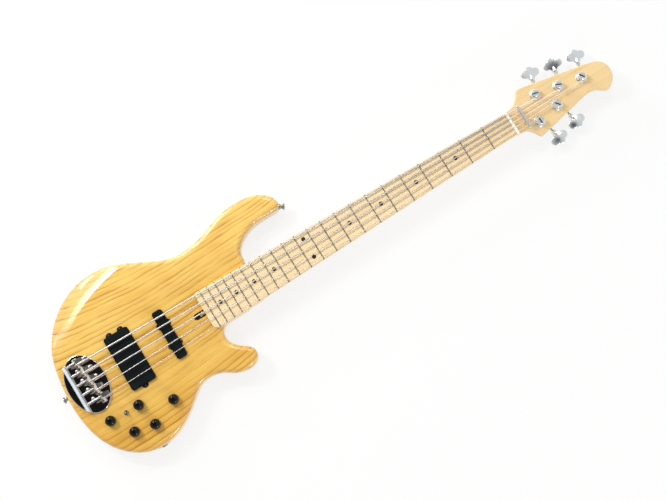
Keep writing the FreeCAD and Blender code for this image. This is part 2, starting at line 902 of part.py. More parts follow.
def cut_back(body):
    """Cavities and holes that open on the back."""
    ring = cavity_ring()
    recess = sketch(body, "cover_recess_plan", "XY_Plane", belt(ring, s.cover_reach))
    pocket(body, "cover_recess", recess, s.cover_thickness, True, Length="Sizes.cover_thickness")
    cavity = sketch(body, "control_cavity_plan", "XY_Plane", belt(ring, s.cavity_reach))
    pocket(body, "control_cavity", cavity, ROOF, True, Length="Sizes.body_thickness - Sizes.roof_thickness")
    holes = [circle(*knob_place(knob), s.pot_bushing_diameter / 2 + s.fit_gap) for knob in KNOB_PLACES]
    holes.append(circle(s.switch_x, s.switch_y, s.switch_bushing_diameter / 2 + s.fit_gap))
    pocket(body, "control_holes", sketch(body, "control_hole_plan", "XY_Plane", holes), FACE, True,
           Length="Sizes.body_thickness")
    pilots = [circle(x, y, s.cover_screw_diameter / 2) for x, y in cover_screw_places()]
    pocket(body, "cover_pilots", sketch(body, "cover_pilot_plan", "XY_Plane", pilots), s.cover_screw_length, True,
           Length="Sizes.cover_screw_length")
    ferrules = [circle(string_hole_x(t), bridge_y(t), s.string_ferrule_diameter / 2) for t in STRINGS]
    pocket(body, "ferrule_seats", sketch(body, "ferrule_plan", "XY_Plane", ferrules), s.string_ferrule_height, True,
           Length="Sizes.string_ferrule_height")
    seats = [circle(x, y, s.ferrule_diameter / 2) for x, y in bolt_places()]
    pocket(body, "bolt_seats", sketch(body, "bolt_seat_plan", "XY_Plane", seats), s.ferrule_height, True,
           Length="Sizes.ferrule_height")
    bolts = [circle(x, y, s.bolt_diameter / 2) for x, y in bolt_places()]
    pocket(body, "bolt_holes", sketch(body, "bolt_hole_plan", "XY_Plane", bolts), POCKET_FLOOR, True,
           Length="Sizes.body_thickness - Sizes.neck_pocket_depth")


def cut_sides(body):
    """Seats and bores in the rim for the jack and the strap buttons."""
    jack = jack_place()
    overrun = s.edge_round
    seat = s.jack_seat_depth + overrun
    side = s.jack_plate_side + 2 * s.fit_gap
    plan = rounded_box(0, 0, side, side, s.jack_plate_corner + s.fit_gap)
    floor = sunk(jack, s.jack_seat_depth)
    pocket(body, "jack_seat", sketch(body, "jack_seat_plan", "XY_Plane", plan, floor), seat, True)
    side = s.jack_barrel_diameter + 2 * s.fit_gap
    channel = rounded_box(0, 0, side, side, s.jack_channel_corner)
    pocket(body, "jack_channel", sketch(body, "jack_channel_plan", "XY_Plane", channel, floor), s.jack_barrel_length,
           Length="Sizes.jack_barrel_length")
    for index, place in enumerate(strap_places()):
        bore(body, "strap_seat_%d" % index, s.strap_base_diameter / 2 + s.strap_seat_gap,
             s.strap_seat_depth + overrun, sunk(place, s.strap_seat_depth))
        bore(body, "strap_pilot_%d" % index, s.strap_screw_diameter / 2, s.strap_screw_length,
             sunk(place, s.strap_screw_length))


# Neck: maple heel, shaft and headstock in one piece

def neck_section(half_width, top, bottom, corner, upright=s.shaft_side, shift=0.0):
    """D-shaped section: flat top, short upright sides, and a back of three arcs."""
    side = top - upright
    depth = side - bottom
    back = ((half_width - corner) ** 2 + depth ** 2 - corner ** 2) / (2 * (depth - corner))
    centre = V(half_width - corner, side, 0)
    lean = centre - V(0, bottom + back, 0)
    lean.normalize()
    join = centre + lean * corner
    swing = X_AXIS + lean
    swing.normalize()
    middle = centre + swing * corner
    offset = V(shift, 0, 0)
    left = lambda point: V(-point.x, point.y, 0) + offset
    right = lambda point: point + offset
    edge_top = V(half_width, top, 0)
    edge_side = V(half_width, side, 0)
    return [
        Part.LineSegment(left(edge_top), right(edge_top)),
        Part.LineSegment(right(edge_top), right(edge_side)),
        Part.Arc(right(edge_side), right(middle), right(join)),
        Part.Arc(right(join), V(shift, bottom, 0), left(join)),
        Part.Arc(left(join), left(middle), left(edge_side)),
        Part.LineSegment(left(edge_side), left(edge_top)),
    ]


def loft(body, name, sections, ruled):
    """Loft through sections given as (station along X, curves)."""
    drawings = []
    for index, (x, curves) in enumerate(sections):
        drawings.append(sketch(body, "%s_%d" % (name, index), "YZ_Plane", curves, level(x)))
    feature = body.newObject("PartDesign::AdditiveLoft", name)
    feature.Profile = drawings[0]
    feature.Sections = drawings[1:]
    feature.Ruled = ruled
    doc.recompute()
    return feature


def make_neck():
    body = new_body("maple_neck")
    outline = knot_outline(HEAD_KNOTS, s.scale_length, True)
    head = sketch(body, "head_outline", "XY_Plane", outline, level(HEAD_BACK))
    slab = pad(body, "headstock", head, s.head_thickness, Length="Sizes.head_thickness")
    start_x = s.scale_length + s.head_bass_start_x
    rim = edges_at_height(slab.Shape, HEAD_BACK) + edges_at_height(slab.Shape, HEAD_FACE)
    rim = [edge for edge in rim if edge.BoundBox.XMax > start_x + 1e-3]
    fillet(body, "head_edges", slab, rim, "Sizes.head_edge_round")
    throat = s.scale_length - s.throat_length / 2
    loft(body, "throat", throat_sections(throat, start_x), False)
    heel_end = s.heel_x + s.heel_length
    shaft_start = heel_end - s.heel_length / 2
    loft(body, "shaft", [
        (shaft_start, neck_section(half_neck(shaft_start), GLUE, GLUE - s.shaft_depth_heel, s.shaft_depth_heel * 0.62)),
        (throat, neck_section(half_neck(throat), GLUE, GLUE - s.shaft_depth_nut, s.shaft_depth_nut * 0.62)),
    ], True)
    plan = sketch(body, "heel_plan", "XY_Plane", heel_plan(0, heel_end), level(POCKET_FLOOR))
    pad(body, "heel", plan, GLUE - POCKET_FLOOR,
        Length="Sizes.neck_pocket_depth + Sizes.board_rise - Sizes.board_thickness")
    plane_glue_face(body, throat)
    cut_neck(body)
    return node(body, "neck")


def throat_sections(start, end):
    """Blend from the round shaft down to the flat headstock, behind the nut."""
    nut_back = s.scale_length + s.nut_thickness
    end_half = (s.head_bass_start_y - s.head_treble_start_y) / 2
    end_shift = (s.head_bass_start_y + s.head_treble_start_y) / 2
    end_corner = s.head_edge_round
    sections = []
    for share in (0.0, 0.45, 0.7, 0.85, 1.0):
        x = start + (end - start) * share
        ramp = max(0.0, (x - nut_back) / (end - nut_back))
        top = GLUE - s.head_drop * math.sin(ramp * math.pi / 2)
        sink = (1 - math.cos(share * math.pi)) / 2
        bottom = GLUE - s.shaft_depth_nut + (HEAD_BACK - GLUE + s.shaft_depth_nut) * sink
        flare = share ** 3
        half = half_neck(x) + (end_half - half_neck(end)) * flare
        first_corner = (top - s.shaft_side - bottom) * 0.62
        corner = first_corner + (end_corner - first_corner) * share
        last_upright = top - bottom - end_corner * 1.1
        upright = s.shaft_side + (last_upright - s.shaft_side) * share
        sections.append((x, neck_section(half, top, bottom, corner, upright, end_shift * flare)))
    return sections


def plane_glue_face(body, start):
    """Take off what the blend rises over the flat that carries the board and the nut."""
    end = s.scale_length + s.nut_thickness
    half = s.nut_width
    flat = polygon([(start, -half), (end, -half), (end, half), (start, half)])
    pocket(body, "glue_face", sketch(body, "glue_plan", "XY_Plane", flat, level(GLUE)), s.board_thickness, True,
           Length="Sizes.board_thickness")


def cut_neck(body):
    """Bores of the truss rod, the bolts, the tuners and their screws."""
    rod_z = GLUE - s.rod_depth
    rod_radius = s.rod_diameter / 2
    bore(body, "rod_bore", rod_radius, s.rod_end - s.heel_x + s.treble_corner,
         at(s.heel_x - s.treble_corner, 0, rod_z, along(X_AXIS)))
    floor = level(POCKET_FLOOR)
    pilots = [circle(x, y, s.bolt_diameter / 2) for x, y in bolt_places()]
    pocket(body, "bolt_pilots", sketch(body, "bolt_pilot_plan", "XY_Plane", pilots, floor), s.bolt_bite, True,
           Length="Sizes.bolt_bite")
    back = level(HEAD_BACK)
    spots = [tuner_place(t, 0).Base for t in STRINGS]
    holes = [circle(spot.x, spot.y, s.bushing_diameter / 2) for spot in spots]
    pocket(body, "bushing_holes", sketch(body, "bushing_plan", "XY_Plane", holes, back), s.head_thickness, True,
           Length="Sizes.head_thickness")
    screws = []
    for string in STRINGS:
        for x, y in tuner_screw_places(string):
            spot = tuner_place(string, 0).multVec(V(x, y, 0))
            screws.append(circle(spot.x, spot.y, s.tuner_screw_diameter / 2))
    pocket(body, "tuner_pilots", sketch(body, "tuner_pilot_plan", "XY_Plane", screws, back), s.tuner_screw_bite, True,
           Length="Sizes.tuner_screw_bite")
    bar = [circle(x, y, s.bar_screw_diameter / 2) for x, y in bar_screw_places()]
    pocket(body, "bar_pilots", sketch(body, "bar_pilot_plan", "XY_Plane", bar, level(HEAD_FACE)), s.bar_screw_bite,
           Length="Sizes.bar_screw_bite")


# Fingerboard, frets, markers and nut

def board_cylinder(name, radius):
    """Long cylinder whose top line is the crown of the fingerboard at that radius."""
    roll = doc.addObject("Part::Cylinder", name)
    roll.Radius = radius
    roll.Height = s.scale_length
    roll.Placement = at(0, 0, CROWN - s.board_radius, along(X_AXIS))
    return roll


def fret_profile(number, low, high_edge, crown):
    """Mushroom section of a fret in the XZ plane: crown above the board, tang below it."""
    x = fret_x(number)
    axis_z = CROWN - s.board_radius
    point = lambda dx, radius: V(x + dx, 0, axis_z + radius)
    tang = s.fret_tang / 2
    if not crown:
        corners = [point(-tang, low), point(tang, low), point(tang, high_edge), point(-tang, high_edge), point(-tang, low)]
        return Part.Face(Part.makePolygon(corners))
    wing = s.fret_width / 2
    arch = Part.Arc(point(wing, s.board_radius), point(0, s.board_radius + s.fret_height), point(-wing, s.board_radius))
    line = lambda a, b: Part.LineSegment(a, b).toShape()
    edges = [arch.toShape(),
             line(point(-wing, s.board_radius), point(-tang, s.board_radius)),
             line(point(-tang, s.board_radius), point(-tang, low)),
             line(point(-tang, low), point(tang, low)),
             line(point(tang, low), point(tang, s.board_radius)),
             line(point(tang, s.board_radius), point(wing, s.board_radius))]
    return Part.Face(Part.Wire(edges))


def roll_profile(face, number):
    """Sweep a fret section across the rounded board, from edge to edge."""
    swing = math.degrees(math.asin(half_neck(fret_x(number)) / s.board_radius))
    axis = V(0, 0, CROWN - s.board_radius)
    face.rotate(axis, X_AXIS, -swing)
    return face.revolve(axis, X_AXIS, 2 * swing)


def marker_places():
    """Dots halfway between frets, two of them at the octave."""
    middle = lambda number: (fret_x(number) + fret_x(number - 1)) / 2
    places = [(middle(number), 0) for number in SINGLE_MARKERS]
    places += [(middle(DOUBLE_MARKER), side * s.marker_pair_pitch / 2) for side in (-1, 1)]
    return places


def make_fingerboard():
    blank = new_body("board_blank")
    plan = sketch(blank, "board_plan", "XY_Plane", heel_plan(0, s.scale_length), level(GLUE))
    pad(blank, "board", plan, s.board_thickness, Length="Sizes.board_thickness")
    crowned = doc.addObject("Part::Common", "crowned_board")
    crowned.Base = blank
    crowned.Tool = board_cylinder("board_crown", s.board_radius)
    low = s.board_radius - s.tang_depth
    slots = [roll_profile(fret_profile(n, low, s.board_radius + s.fret_height, False), n)
             for n in range(1, FRET_COUNT + 1)]
    dots = [dot_solid(x, y) for x, y in marker_places()]
    tools = doc.addObject("Part::Feature", "slots_and_dots")
    tools.Shape = Part.makeCompound(slots + dots)
    board = doc.addObject("Part::Cut", "slotted_board")
    board.Base = crowned
    board.Tool = tools
    doc.recompute()
    return node(board, "fingerboard")


def dot_solid(x, y):
    """Inlaid dot, flush with the rounded top of the board."""
    disc = Part.makeCylinder(s.marker_diameter / 2, s.board_thickness, V(x, y, board_top(y) - s.marker_depth))
    roll = Part.makeCylinder(s.board_radius, s.scale_length, V(0, 0, CROWN - s.board_radius), X_AXIS)
    return disc.common(roll)


def make_frets():
    low = s.board_radius - s.tang_depth
    frets = [roll_profile(fret_profile(n, low, 0, True), n) for n in range(1, FRET_COUNT + 1)]
    group = doc.addObject("Part::Feature", "frets")
    group.Shape = Part.makeCompound(frets)
    return node(group, "frets")


def make_markers():
    group = doc.addObject("Part::Feature", "fret_markers")
    group.Shape = Part.makeCompound([dot_solid(x, y) for x, y in marker_places()])
    return node(group, "fret_markers")


def make_nut():
    """Nut across the end of the board, with a half-round slot for each string."""
    body = new_body("string_nut")
    half = half_neck(s.scale_length)
    top = nut_z("a")
    edge = top - s.board_radius + math.sqrt(s.board_radius ** 2 - half ** 2)
    low = [V(-half, GLUE, 0), V(half, GLUE, 0)]
    high = [V(half, edge, 0), V(-half, edge, 0)]
    curves = [Part.LineSegment(low[0], low[1]), Part.LineSegment(low[1], high[0]),
              Part.Arc(high[0], V(0, top, 0), high[1]), Part.LineSegment(high[1], low[0])]
    drawing = sketch(body, "nut_section", "YZ_Plane", curves, level(s.scale_length))
    pad(body, "nut_block", drawing, s.nut_thickness, Length="Sizes.nut_thickness")
    slots = Part.makeCompound([nut_slot(string) for string in STRINGS])
    filed = doc.addObject("Part::Feature", "nut")
    filed.Shape = body.Shape.cut(slots)
    return node(filed, "nut")


def nut_slot(string):
    """Round file's cut along the bend of a string over the nut."""
    radius = gauge(string) / 2 + s.slot_clearance
    run_in, bend, run_out = string_route(string)[4:7]
    arriving = run_in.EndPoint - run_in.StartPoint
    leaving = run_out.EndPoint - run_out.StartPoint
    start = run_in.EndPoint - arriving.normalize() * s.nut_thickness
    end = run_out.StartPoint + leaving.normalize() * s.nut_thickness
    path = [Part.LineSegment(start, run_in.EndPoint), bend, Part.LineSegment(run_out.StartPoint, end)]
    spine = Part.Wire([curve.toShape() for curve in path])
    ring = Part.Wire([Part.Circle(start, arriving, radius).toShape()])
    return spine.makePipeShell([ring], True, False)


# Truss rod, neck bolts and their ferrules

def make_truss_rod():
    rod_z = GLUE - s.rod_depth
    rod = doc.addObject("Part::Cylinder", "rod")
    bind(rod, Radius="Sizes.rod_diameter / 2", Height="Sizes.rod_end - Sizes.heel_x + Sizes.rod_nut_length")
    rod.Placement = at(s.heel_x - s.rod_nut_length, 0, rod_z, along(X_AXIS))
    node(rod, "truss_rod")
    outer = s.rod_nut_diameter / 2
    inner = s.rod_diameter / 2 + s.running_gap
    length = s.rod_nut_length
    wheel = turned("rod_wheel", lathe((inner, 0), (outer, 0), (outer, length * 0.35), (outer * 0.8, length * 0.45),
                                      (outer * 0.8, length * 0.9), (inner, length * 0.9)))
    for index in range(4):
        turn = Rotation(Z_AXIS, 90 * index).multiply(along(X_AXIS))
        bore(wheel, "spoke_hole_%d" % index, outer * 0.22, outer, Placement(V(0, 0, length * 0.175), turn))
    wheel.Placement = at(s.heel_x - s.rod_nut_length, 0, rod_z, along(X_AXIS))
    node(wheel, "truss_rod_nut")


def make_neck_bolts():
    shank = s.bolt_diameter / 2
    head = s.bolt_head_diameter / 2
    seat = s.ferrule_height - s.bolt_head_height
    tip = POCKET_FLOOR + s.bolt_bite
    bolt = turned("neck_bolt", lathe((0, seat * 0.4), (head, seat * 0.4), (head, seat * 0.4 + s.bolt_head_height),
                                     (shank, seat * 0.4 + s.bolt_head_height), (shank, tip - shank), (0, tip)))
    copies("neck_bolts", [(bolt, at(x, y, 0)) for x, y in bolt_places()])
    outer = s.ferrule_diameter / 2
    floor = seat * 0.4 + s.bolt_head_height
    ferrule = turned("bolt_ferrule", lathe((outer, 0), (outer, s.ferrule_height), (shank, s.ferrule_height), (shank, floor),
                                           (head, floor), (head, 0)))
    copies("neck_bolt_ferrules", [(ferrule, at(x, y, 0)) for x, y in bolt_places()])


# Bridge: oval plate with an upright rear wall, saddles and screws

def make_bridge_plate():
    body = new_body("bridge_casting")
    tall = s.plate_width / 2
    wide = s.plate_length / 2
    centre = V(s.plate_centre_x, 0, 0)
    oval = Part.Ellipse(centre + V(0, tall, 0), centre + V(-wide, 0, 0), centre)
    plan = sketch(body, "plate_plan", "XY_Plane", [oval], level(FACE))
    plate = pad(body, "plate", plan, s.plate_thickness, Length="Sizes.plate_thickness")
    fillet(body, "plate_edge", plate, edges_at_height(plate.Shape, PLATE_TOP), "Sizes.plate_round")
    front = s.wall_back_x + s.wall_thickness
    reach = lambda x: (tall - s.plate_round) * math.sqrt(1 - ((x - s.plate_centre_x) / wide) ** 2)
    wall = polygon([(s.wall_back_x, -reach(s.wall_back_x)), (front, -reach(front)),
                    (front, reach(front)), (s.wall_back_x, reach(s.wall_back_x))])
    base = PLATE_TOP - s.plate_thickness / 2
    upright = pad(body, "wall", sketch(body, "wall_plan", "XY_Plane", wall, level(base)),
                  PLATE_TOP + s.wall_height - base, Length="Sizes.wall_height + Sizes.plate_thickness / 2")
    crest = edges_at_height(upright.Shape, PLATE_TOP + s.wall_height)
    fillet(body, "wall_edge", upright, crest, "Sizes.wall_round")
    top = level(PLATE_TOP)
    holes = [circle(string_hole_x(t), bridge_y(t), s.string_hole_diameter / 2) for t in STRINGS]
    holes += [circle(x, y, s.bridge_screw_diameter / 2) for x, y in bridge_screw_places()]
    pocket(body, "plate_holes", sketch(body, "plate_hole_plan", "XY_Plane", holes, top), s.plate_thickness,
           Length="Sizes.plate_thickness")
    for index, (x, y) in enumerate(bridge_screw_places()):
        sink = body.newObject("PartDesign::SubtractiveCone", "sink_%d" % index)
        sink.Radius1 = s.bridge_screw_diameter / 2
        sink.Radius2 = s.bridge_screw_head / 2
        sink.Height = screw_taper()
        sink.Placement = at(x, y, PLATE_TOP - screw_taper())
        doc.recompute()
    for string in STRINGS:
        place = at(s.wall_back_x, bridge_y(string) + s.intonation_shift, PLATE_TOP + s.intonation_rise, along(X_AXIS))
        bore(body, "screw_bore_" + string, s.intonation_diameter / 2 + s.running_gap, s.wall_thickness, place)
        bore(body, "head_bore_" + string, s.intonation_head / 2 + s.fit_gap,
             s.intonation_head_length + s.running_gap, place)
    return node(body, "bridge_plate")


def screw_taper():
    """Depth of the countersunk head of a bridge screw."""
    return (s.bridge_screw_head - s.bridge_screw_diameter) / 2


def make_bridge_screws():
    head = s.bridge_screw_head / 2
    shank = s.bridge_screw_diameter / 2
    taper = screw_taper()
    tip = s.bridge_screw_length + s.plate_thickness
    dome = (head * 0.6, s.bridge_screw_dome * 0.7)
    profile = [((0, -tip),), ((shank, -tip + 2 * shank),), ((shank, -taper),), ((head, 0),),
               (dome, (0, s.bridge_screw_dome))]
    screw = turned("bridge_screw", profile)
    copies("bridge_screws", [(screw, at(x, y, PLATE_TOP)) for x, y in bridge_screw_places()])


def bend_sag(string):
    """How far the rounded bend of a string over its saddle lies below the sharp corner."""
    rise = saddle_z(string) - PLATE_TOP
    run = saddle_x(string) - string_hole_x(string)
    half = math.atan2(rise, run) / 2
    return s.saddle_bend * (1 / math.cos(half) - 1)


def make_saddle(string):
    """Saddle block with its threaded boss and two height screws that stand on the plate."""
    body = new_body("saddle_block_" + string)
    bottom = PLATE_TOP + s.saddle_float
    crest = saddle_z(string) - gauge(string) / 2 - bend_sag(string) - s.saddle_string_gap
    half = s.saddle_length / 2
    rear = crest - half * math.tan(math.radians(s.saddle_rear_slope))
    x = saddle_x(string)
    low_y = bridge_y(string) + s.saddle_shift - s.saddle_width / 2
    profile = polygon([(x - half, bottom), (x + half, bottom), (x + half, crest - s.saddle_front_drop), (x, crest),
                       (x - half, rear)])
    side = sketch(body, "saddle_side_" + string, "XZ_Plane", profile, level(-low_y - s.saddle_width))
    pad(body, "saddle_bar_" + string, side, s.saddle_width, Length="Sizes.saddle_width")
    axis_y = bridge_y(string) + s.intonation_shift
    boss_start = x
    boss_length = half + s.saddle_boss_length
    boss = rounded_box(boss_start + boss_length / 2, axis_y, boss_length, s.saddle_boss_width, 1.2)
    pad(body, "saddle_boss_" + string, sketch(body, "boss_plan_" + string, "XY_Plane", boss, level(bottom)),
        s.saddle_boss_height, Length="Sizes.saddle_boss_height")
    bore(body, "saddle_thread_" + string, s.intonation_diameter / 2 + s.running_gap, 2 * boss_length + s.saddle_length,
         at(x - s.saddle_length, axis_y, PLATE_TOP + s.intonation_rise, along(X_AXIS)))
    radius = s.height_screw_diameter / 2
    inset = s.height_screw_inset
    spots = [(x, low_y + inset), (x, low_y + s.saddle_width - inset)]
    holes = [circle(px, py, radius) for px, py in spots]
    top = crest + s.saddle_length
    pocket(body, "height_holes_" + string, sketch(body, "height_plan_" + string, "XY_Plane", holes, level(top)),
           top - bottom)
    screw_length = crest - s.saddle_front_drop - PLATE_TOP
    screws = [Part.makeCylinder(radius, screw_length, V(px, py, PLATE_TOP)) for px, py in spots]
    group = doc.addObject("Part::Feature", "saddle_" + string)
    group.Shape = Part.makeCompound([body.Shape] + screws)
    node(group, "saddle_" + string)


def make_intonation_screw(string):
    head = s.intonation_head / 2
    shank = s.intonation_diameter / 2
    end = s.intonation_tip_x - s.wall_back_x
    screw = turned("screw_" + string, lathe((0, 0), (head, 0), (head, s.intonation_head_length),
                                            (shank, s.intonation_head_length), (shank, end - shank / 2),
                                            (shank / 2, end), (0, end)))
    slot = rounded_box(0, 0, s.intonation_head * 1.2, 1.0, 0.2)
    pocket(screw, "screw_slot_" + string, sketch(screw, "screw_slot_plan_" + string, "XY_Plane", slot), 1.2, True)
    axis_y = bridge_y(string) + s.intonation_shift
    screw.Placement = at(s.wall_back_x, axis_y, PLATE_TOP + s.intonation_rise, along(X_AXIS))
    node(screw, "intonation_screw_" + string)


def make_string_ferrules():
    outer = s.string_ferrule_diameter / 2
    hole = s.string_hole_diameter / 2
    seat = s.ball_diameter / 2 + s.fit_gap
    depth = s.string_ferrule_height * 0.7
    ferrule = turned("string_ferrule", lathe((outer, 0), (outer, s.string_ferrule_height), (hole, s.string_ferrule_height),
                                             (hole, depth), (seat, depth), (seat, 0)))
    copies("string_ferrules", [(ferrule, at(string_hole_x(t), bridge_y(t), 0)) for t in STRINGS])


# Strings: each one unbroken tube from its ball in the back to its winding round the post

def rounded_route(points, radii):
    """Straight runs joined by tangent arcs, and the direction in which the route ends."""
    curves = []
    here = points[0]
    for corner, after, radius in zip(points[1:-1], points[2:], radii):
        incoming = corner - here
        outgoing = after - corner
        incoming.normalize()
        outgoing.normalize()
        turn = incoming.getAngle(outgoing)
        reach = radius * math.tan(turn / 2)
        start = corner - incoming * reach
        end = corner + outgoing * reach
        curves.append(Part.LineSegment(here, start))
        curves.append(tangent_arc(start, incoming, end))
        here = end
    curves.append(Part.LineSegment(here, points[-1]))
    direction = points[-1] - here
    direction.normalize()
    return curves, direction


def post_tangent(string):
    """Where a string from the nut first touches its winding circle, and the sense of the winding."""
    start = V(s.scale_length + s.nut_thickness, nut_y(string), 0)
    centre = tuner_place(string, 0).Base
    sense = tuner_side(string)
    away = centre - start
    swing = math.asin(winding_radius(string) / away.Length)
    length = math.sqrt(away.Length ** 2 - winding_radius(string) ** 2)
    angle = math.atan2(away.y, away.x) - sense * swing
    return start, V(math.cos(angle), math.sin(angle), 0), length, centre, sense


def bar_dip(string, bar_x):
    """How far below the bar a string's centre passes, so that it clears the bar's front edge on its way down."""
    radius = gauge(string) / 2
    run = bar_x - s.scale_length - s.nut_thickness / 2
    dip = radius
    for _ in range(8):
        slope = (nut_z(string) - BAR_BOTTOM + dip) / run
        dip = radius * math.hypot(1, slope) + slope * s.bar_width / 2 + s.slot_clearance
    return dip


def string_route(string):
    """Centre line of a string as a list of lines and arcs."""
    radius = gauge(string) / 2
    step = gauge(string) + s.winding_step
    quarters = WINDING_QUARTERS[string]
    lowest = BUSHING_TOP + s.winding_gap + radius
    touch_z = lowest + step * quarters / 4
    start, plan, length, centre, sense = post_tangent(string)
    hole = V(string_hole_x(string), bridge_y(string), 0)
    bar = start + plan * ((BAR_X - start.x) / plan.x)
    touch = start + plan * length + V(0, 0, touch_z)
    points = [
        hole + V(0, 0, s.string_ferrule_height * 0.7 - s.ball_diameter / 2),
        hole + V(0, 0, PLATE_TOP),
        V(saddle_x(string), bridge_y(string), saddle_z(string)),
        V(s.scale_length + s.nut_thickness / 2, nut_y(string), nut_z(string)),
        bar + V(0, 0, BAR_BOTTOM - bar_dip(string, bar.x)),
        touch,
    ]
    curves, direction = rounded_route(points, [s.saddle_bend, s.saddle_bend, 3 * s.nut_thickness, 2 * s.bar_width])
    here, heading = touch, direction
    first_angle = math.atan2(touch.y - centre.y, touch.x - centre.x)
    fall = step / (2 * math.pi * winding_radius(string))
    for quarter in range(1, quarters + 1):
        angle = first_angle + sense * quarter * math.pi / 2
        spot = centre + V(math.cos(angle), math.sin(angle), 0) * winding_radius(string)
        spot = spot + V(0, 0, touch_z - step * quarter / 4)
        leaving = V(-sense * math.sin(angle), sense * math.cos(angle), -fall if quarter < quarters else 0)
        leaving.normalize()
        curves += biarc(here, heading, spot, leaving)
        here, heading = spot, leaving
    curves.append(Part.LineSegment(here, here + heading * gauge(string)))
    return curves


def least_self_gap(curves, diameter):
    """Least clear distance of a tube to itself, measured on points along its winding."""
    points = []
    for curve in curves[9:]:
        edge = curve.toShape()
        points += edge.discretize(Distance=0.5)
    apart = 1.6 * diameter
    travelled = [0.0]
    for a, b in zip(points, points[1:]):
        travelled.append(travelled[-1] + (b - a).Length)
    gaps = [(points[i] - points[j]).Length - diameter
            for i in range(0, len(points), 2) for j in range(i + 1, len(points), 2)
            if travelled[j] - travelled[i] > 3 * apart]
    return min(gaps)


def make_strings():
    tubes = []
    for string in STRINGS:
        curves = string_route(string)
        spine = Part.Wire([curve.toShape() for curve in curves])
        start = curves[0].StartPoint
        ring = Part.Wire([Part.Circle(start, Z_AXIS, gauge(string) / 2).toShape()])
        tube = spine.makePipeShell([ring], True, False)
        ball = Part.makeSphere(s.ball_diameter / 2, start)
        solid = tube.fuse(ball).removeSplitter()
        expected = spine.Length * math.pi * gauge(string) ** 2 / 4
        print("string %s: length %.1f mm, tube volume over section times length %.4f, least gap to itself %.2f mm"
              % (string, spine.Length, tube.Volume / expected, least_self_gap(curves, gauge(string))))
        tubes.append(solid)
    group = doc.addObject("Part::Feature", "strings")
    group.Shape = Part.makeCompound(tubes)
    return node(group, "strings")


# Pickups: moulded covers with screw ears, coils inside

def make_pickup(label, x, y, length, width, corner, ears, ear_radius, coils):
    """Open-bottomed cover with ears, its coils, all seated in the body's cavity."""
    body = new_body(label + "_shell")
    bottom = FACE - s.pickup_depth
    height = s.pickup_depth + s.pickup_rise
    top = FACE + s.pickup_rise
    plan = sketch(body, label + "_plan", "XY_Plane", rounded_box(x, y, length, width, corner), level(bottom))
    block = pad(body, label + "_block", plan, height, Length="Sizes.pickup_depth + Sizes.pickup_rise")
    fillet(body, label + "_edge", block, edges_at_height(block.Shape, top), "Sizes.pickup_top_round")
    seat = level(FACE - s.ear_seat_depth)
    discs = [circle(ex, ey, ear_radius) for ex, ey in ears]
    for index, disc in enumerate(discs):
        drawing = sketch(body, "%s_ear_plan_%d" % (label, index), "XY_Plane", [disc], seat)
        pad(body, "%s_ear_%d" % (label, index), drawing, s.ear_thickness, Length="Sizes.ear_thickness")
    wall = s.pickup_wall
    hollow = rounded_box(x, y, length - 2 * wall, width - 2 * wall, max(corner - wall, 1.0))
    inside = sketch(body, label + "_hollow_plan", "XY_Plane", hollow, level(bottom))
    pocket(body, label + "_hollow", inside, height - wall, True,
           Length="Sizes.pickup_depth + Sizes.pickup_rise - Sizes.pickup_wall")
    return body


def pickup_screw_holes(body, label, spots):
    holes = [circle(x, y, s.pickup_screw_diameter / 2) for x, y in spots]
    height = FACE - s.ear_seat_depth + s.ear_thickness
    pocket(body, label + "_screw_holes", sketch(body, label + "_screw_plan", "XY_Plane", holes, level(height)),
           s.ear_thickness, Length="Sizes.ear_thickness")


def make_coils(label, x, y, length, width, count):
    """Coil bobbins hung from the inside of the cover's top."""
    gap = s.coil_wall_gap
    inner = length - 2 * s.pickup_wall - 2 * gap
    each = (inner - (count - 1) * gap) / count
    top = FACE + s.pickup_rise - s.pickup_wall
    coils = []
    for index in range(count):
        centre = x - inner / 2 + each / 2 + index * (each + gap)
        body = new_body("%s_%d" % (label, index))
        oval = rounded_box(centre, y, each, width - 2 * s.pickup_wall - 4 * gap, each / 2 * 0.98)
        drawing = sketch(body, "%s_plan_%d" % (label, index), "XY_Plane", oval, level(top - s.coil_height))
        pad(body, "%s_bobbin_%d" % (label, index), drawing, s.coil_height, Length="Sizes.coil_height")
        coils.append((body, Placement()))
    copies(label, coils)


def make_pickups():
    screws = ear_screw_places()
    wide = make_pickup("bridge_pickup", s.wide_pickup_x, s.wide_pickup_y, s.wide_pickup_length, s.wide_pickup_width,
                       s.wide_pickup_corner, wide_ear_places(), s.wide_ear_radius, 2)
    pickup_screw_holes(wide, "bridge_pickup", screws[:3])
    node(wide, "bridge_pickup_cover")
    make_coils("bridge_pickup_coils", s.wide_pickup_x, s.wide_pickup_y, s.wide_pickup_length, s.wide_pickup_width, 2)
    slim = make_pickup("neck_pickup", s.slim_pickup_x, s.slim_pickup_y, s.slim_pickup_length, s.slim_pickup_width,
                       s.slim_pickup_corner, slim_ear_places(), s.slim_ear_radius, 1)
    pickup_screw_holes(slim, "neck_pickup", screws[3:])
    node(slim, "neck_pickup_cover")
    make_coils("neck_pickup_coil", s.slim_pickup_x, s.slim_pickup_y, s.slim_pickup_length, s.slim_pickup_width, 1)
    shank = s.pickup_screw_diameter / 2
    head = s.pickup_screw_head / 2
    tip = s.pickup_screw_length - s.ear_seat_depth + s.ear_thickness
    dome = [((0, -tip),), ((shank, -tip + shank),), ((shank, 0),), ((head, 0),), ((head * 0.72, head * 0.5), (0, head * 0.7))]
    screw = turned("pickup_screw", dome)
    height = FACE - s.ear_seat_depth + s.ear_thickness
    copies("pickup_screws", [(screw, at(x, y, height)) for x, y in screws])


# Controls: potentiometers, knobs, switch, board, battery, cover and jack

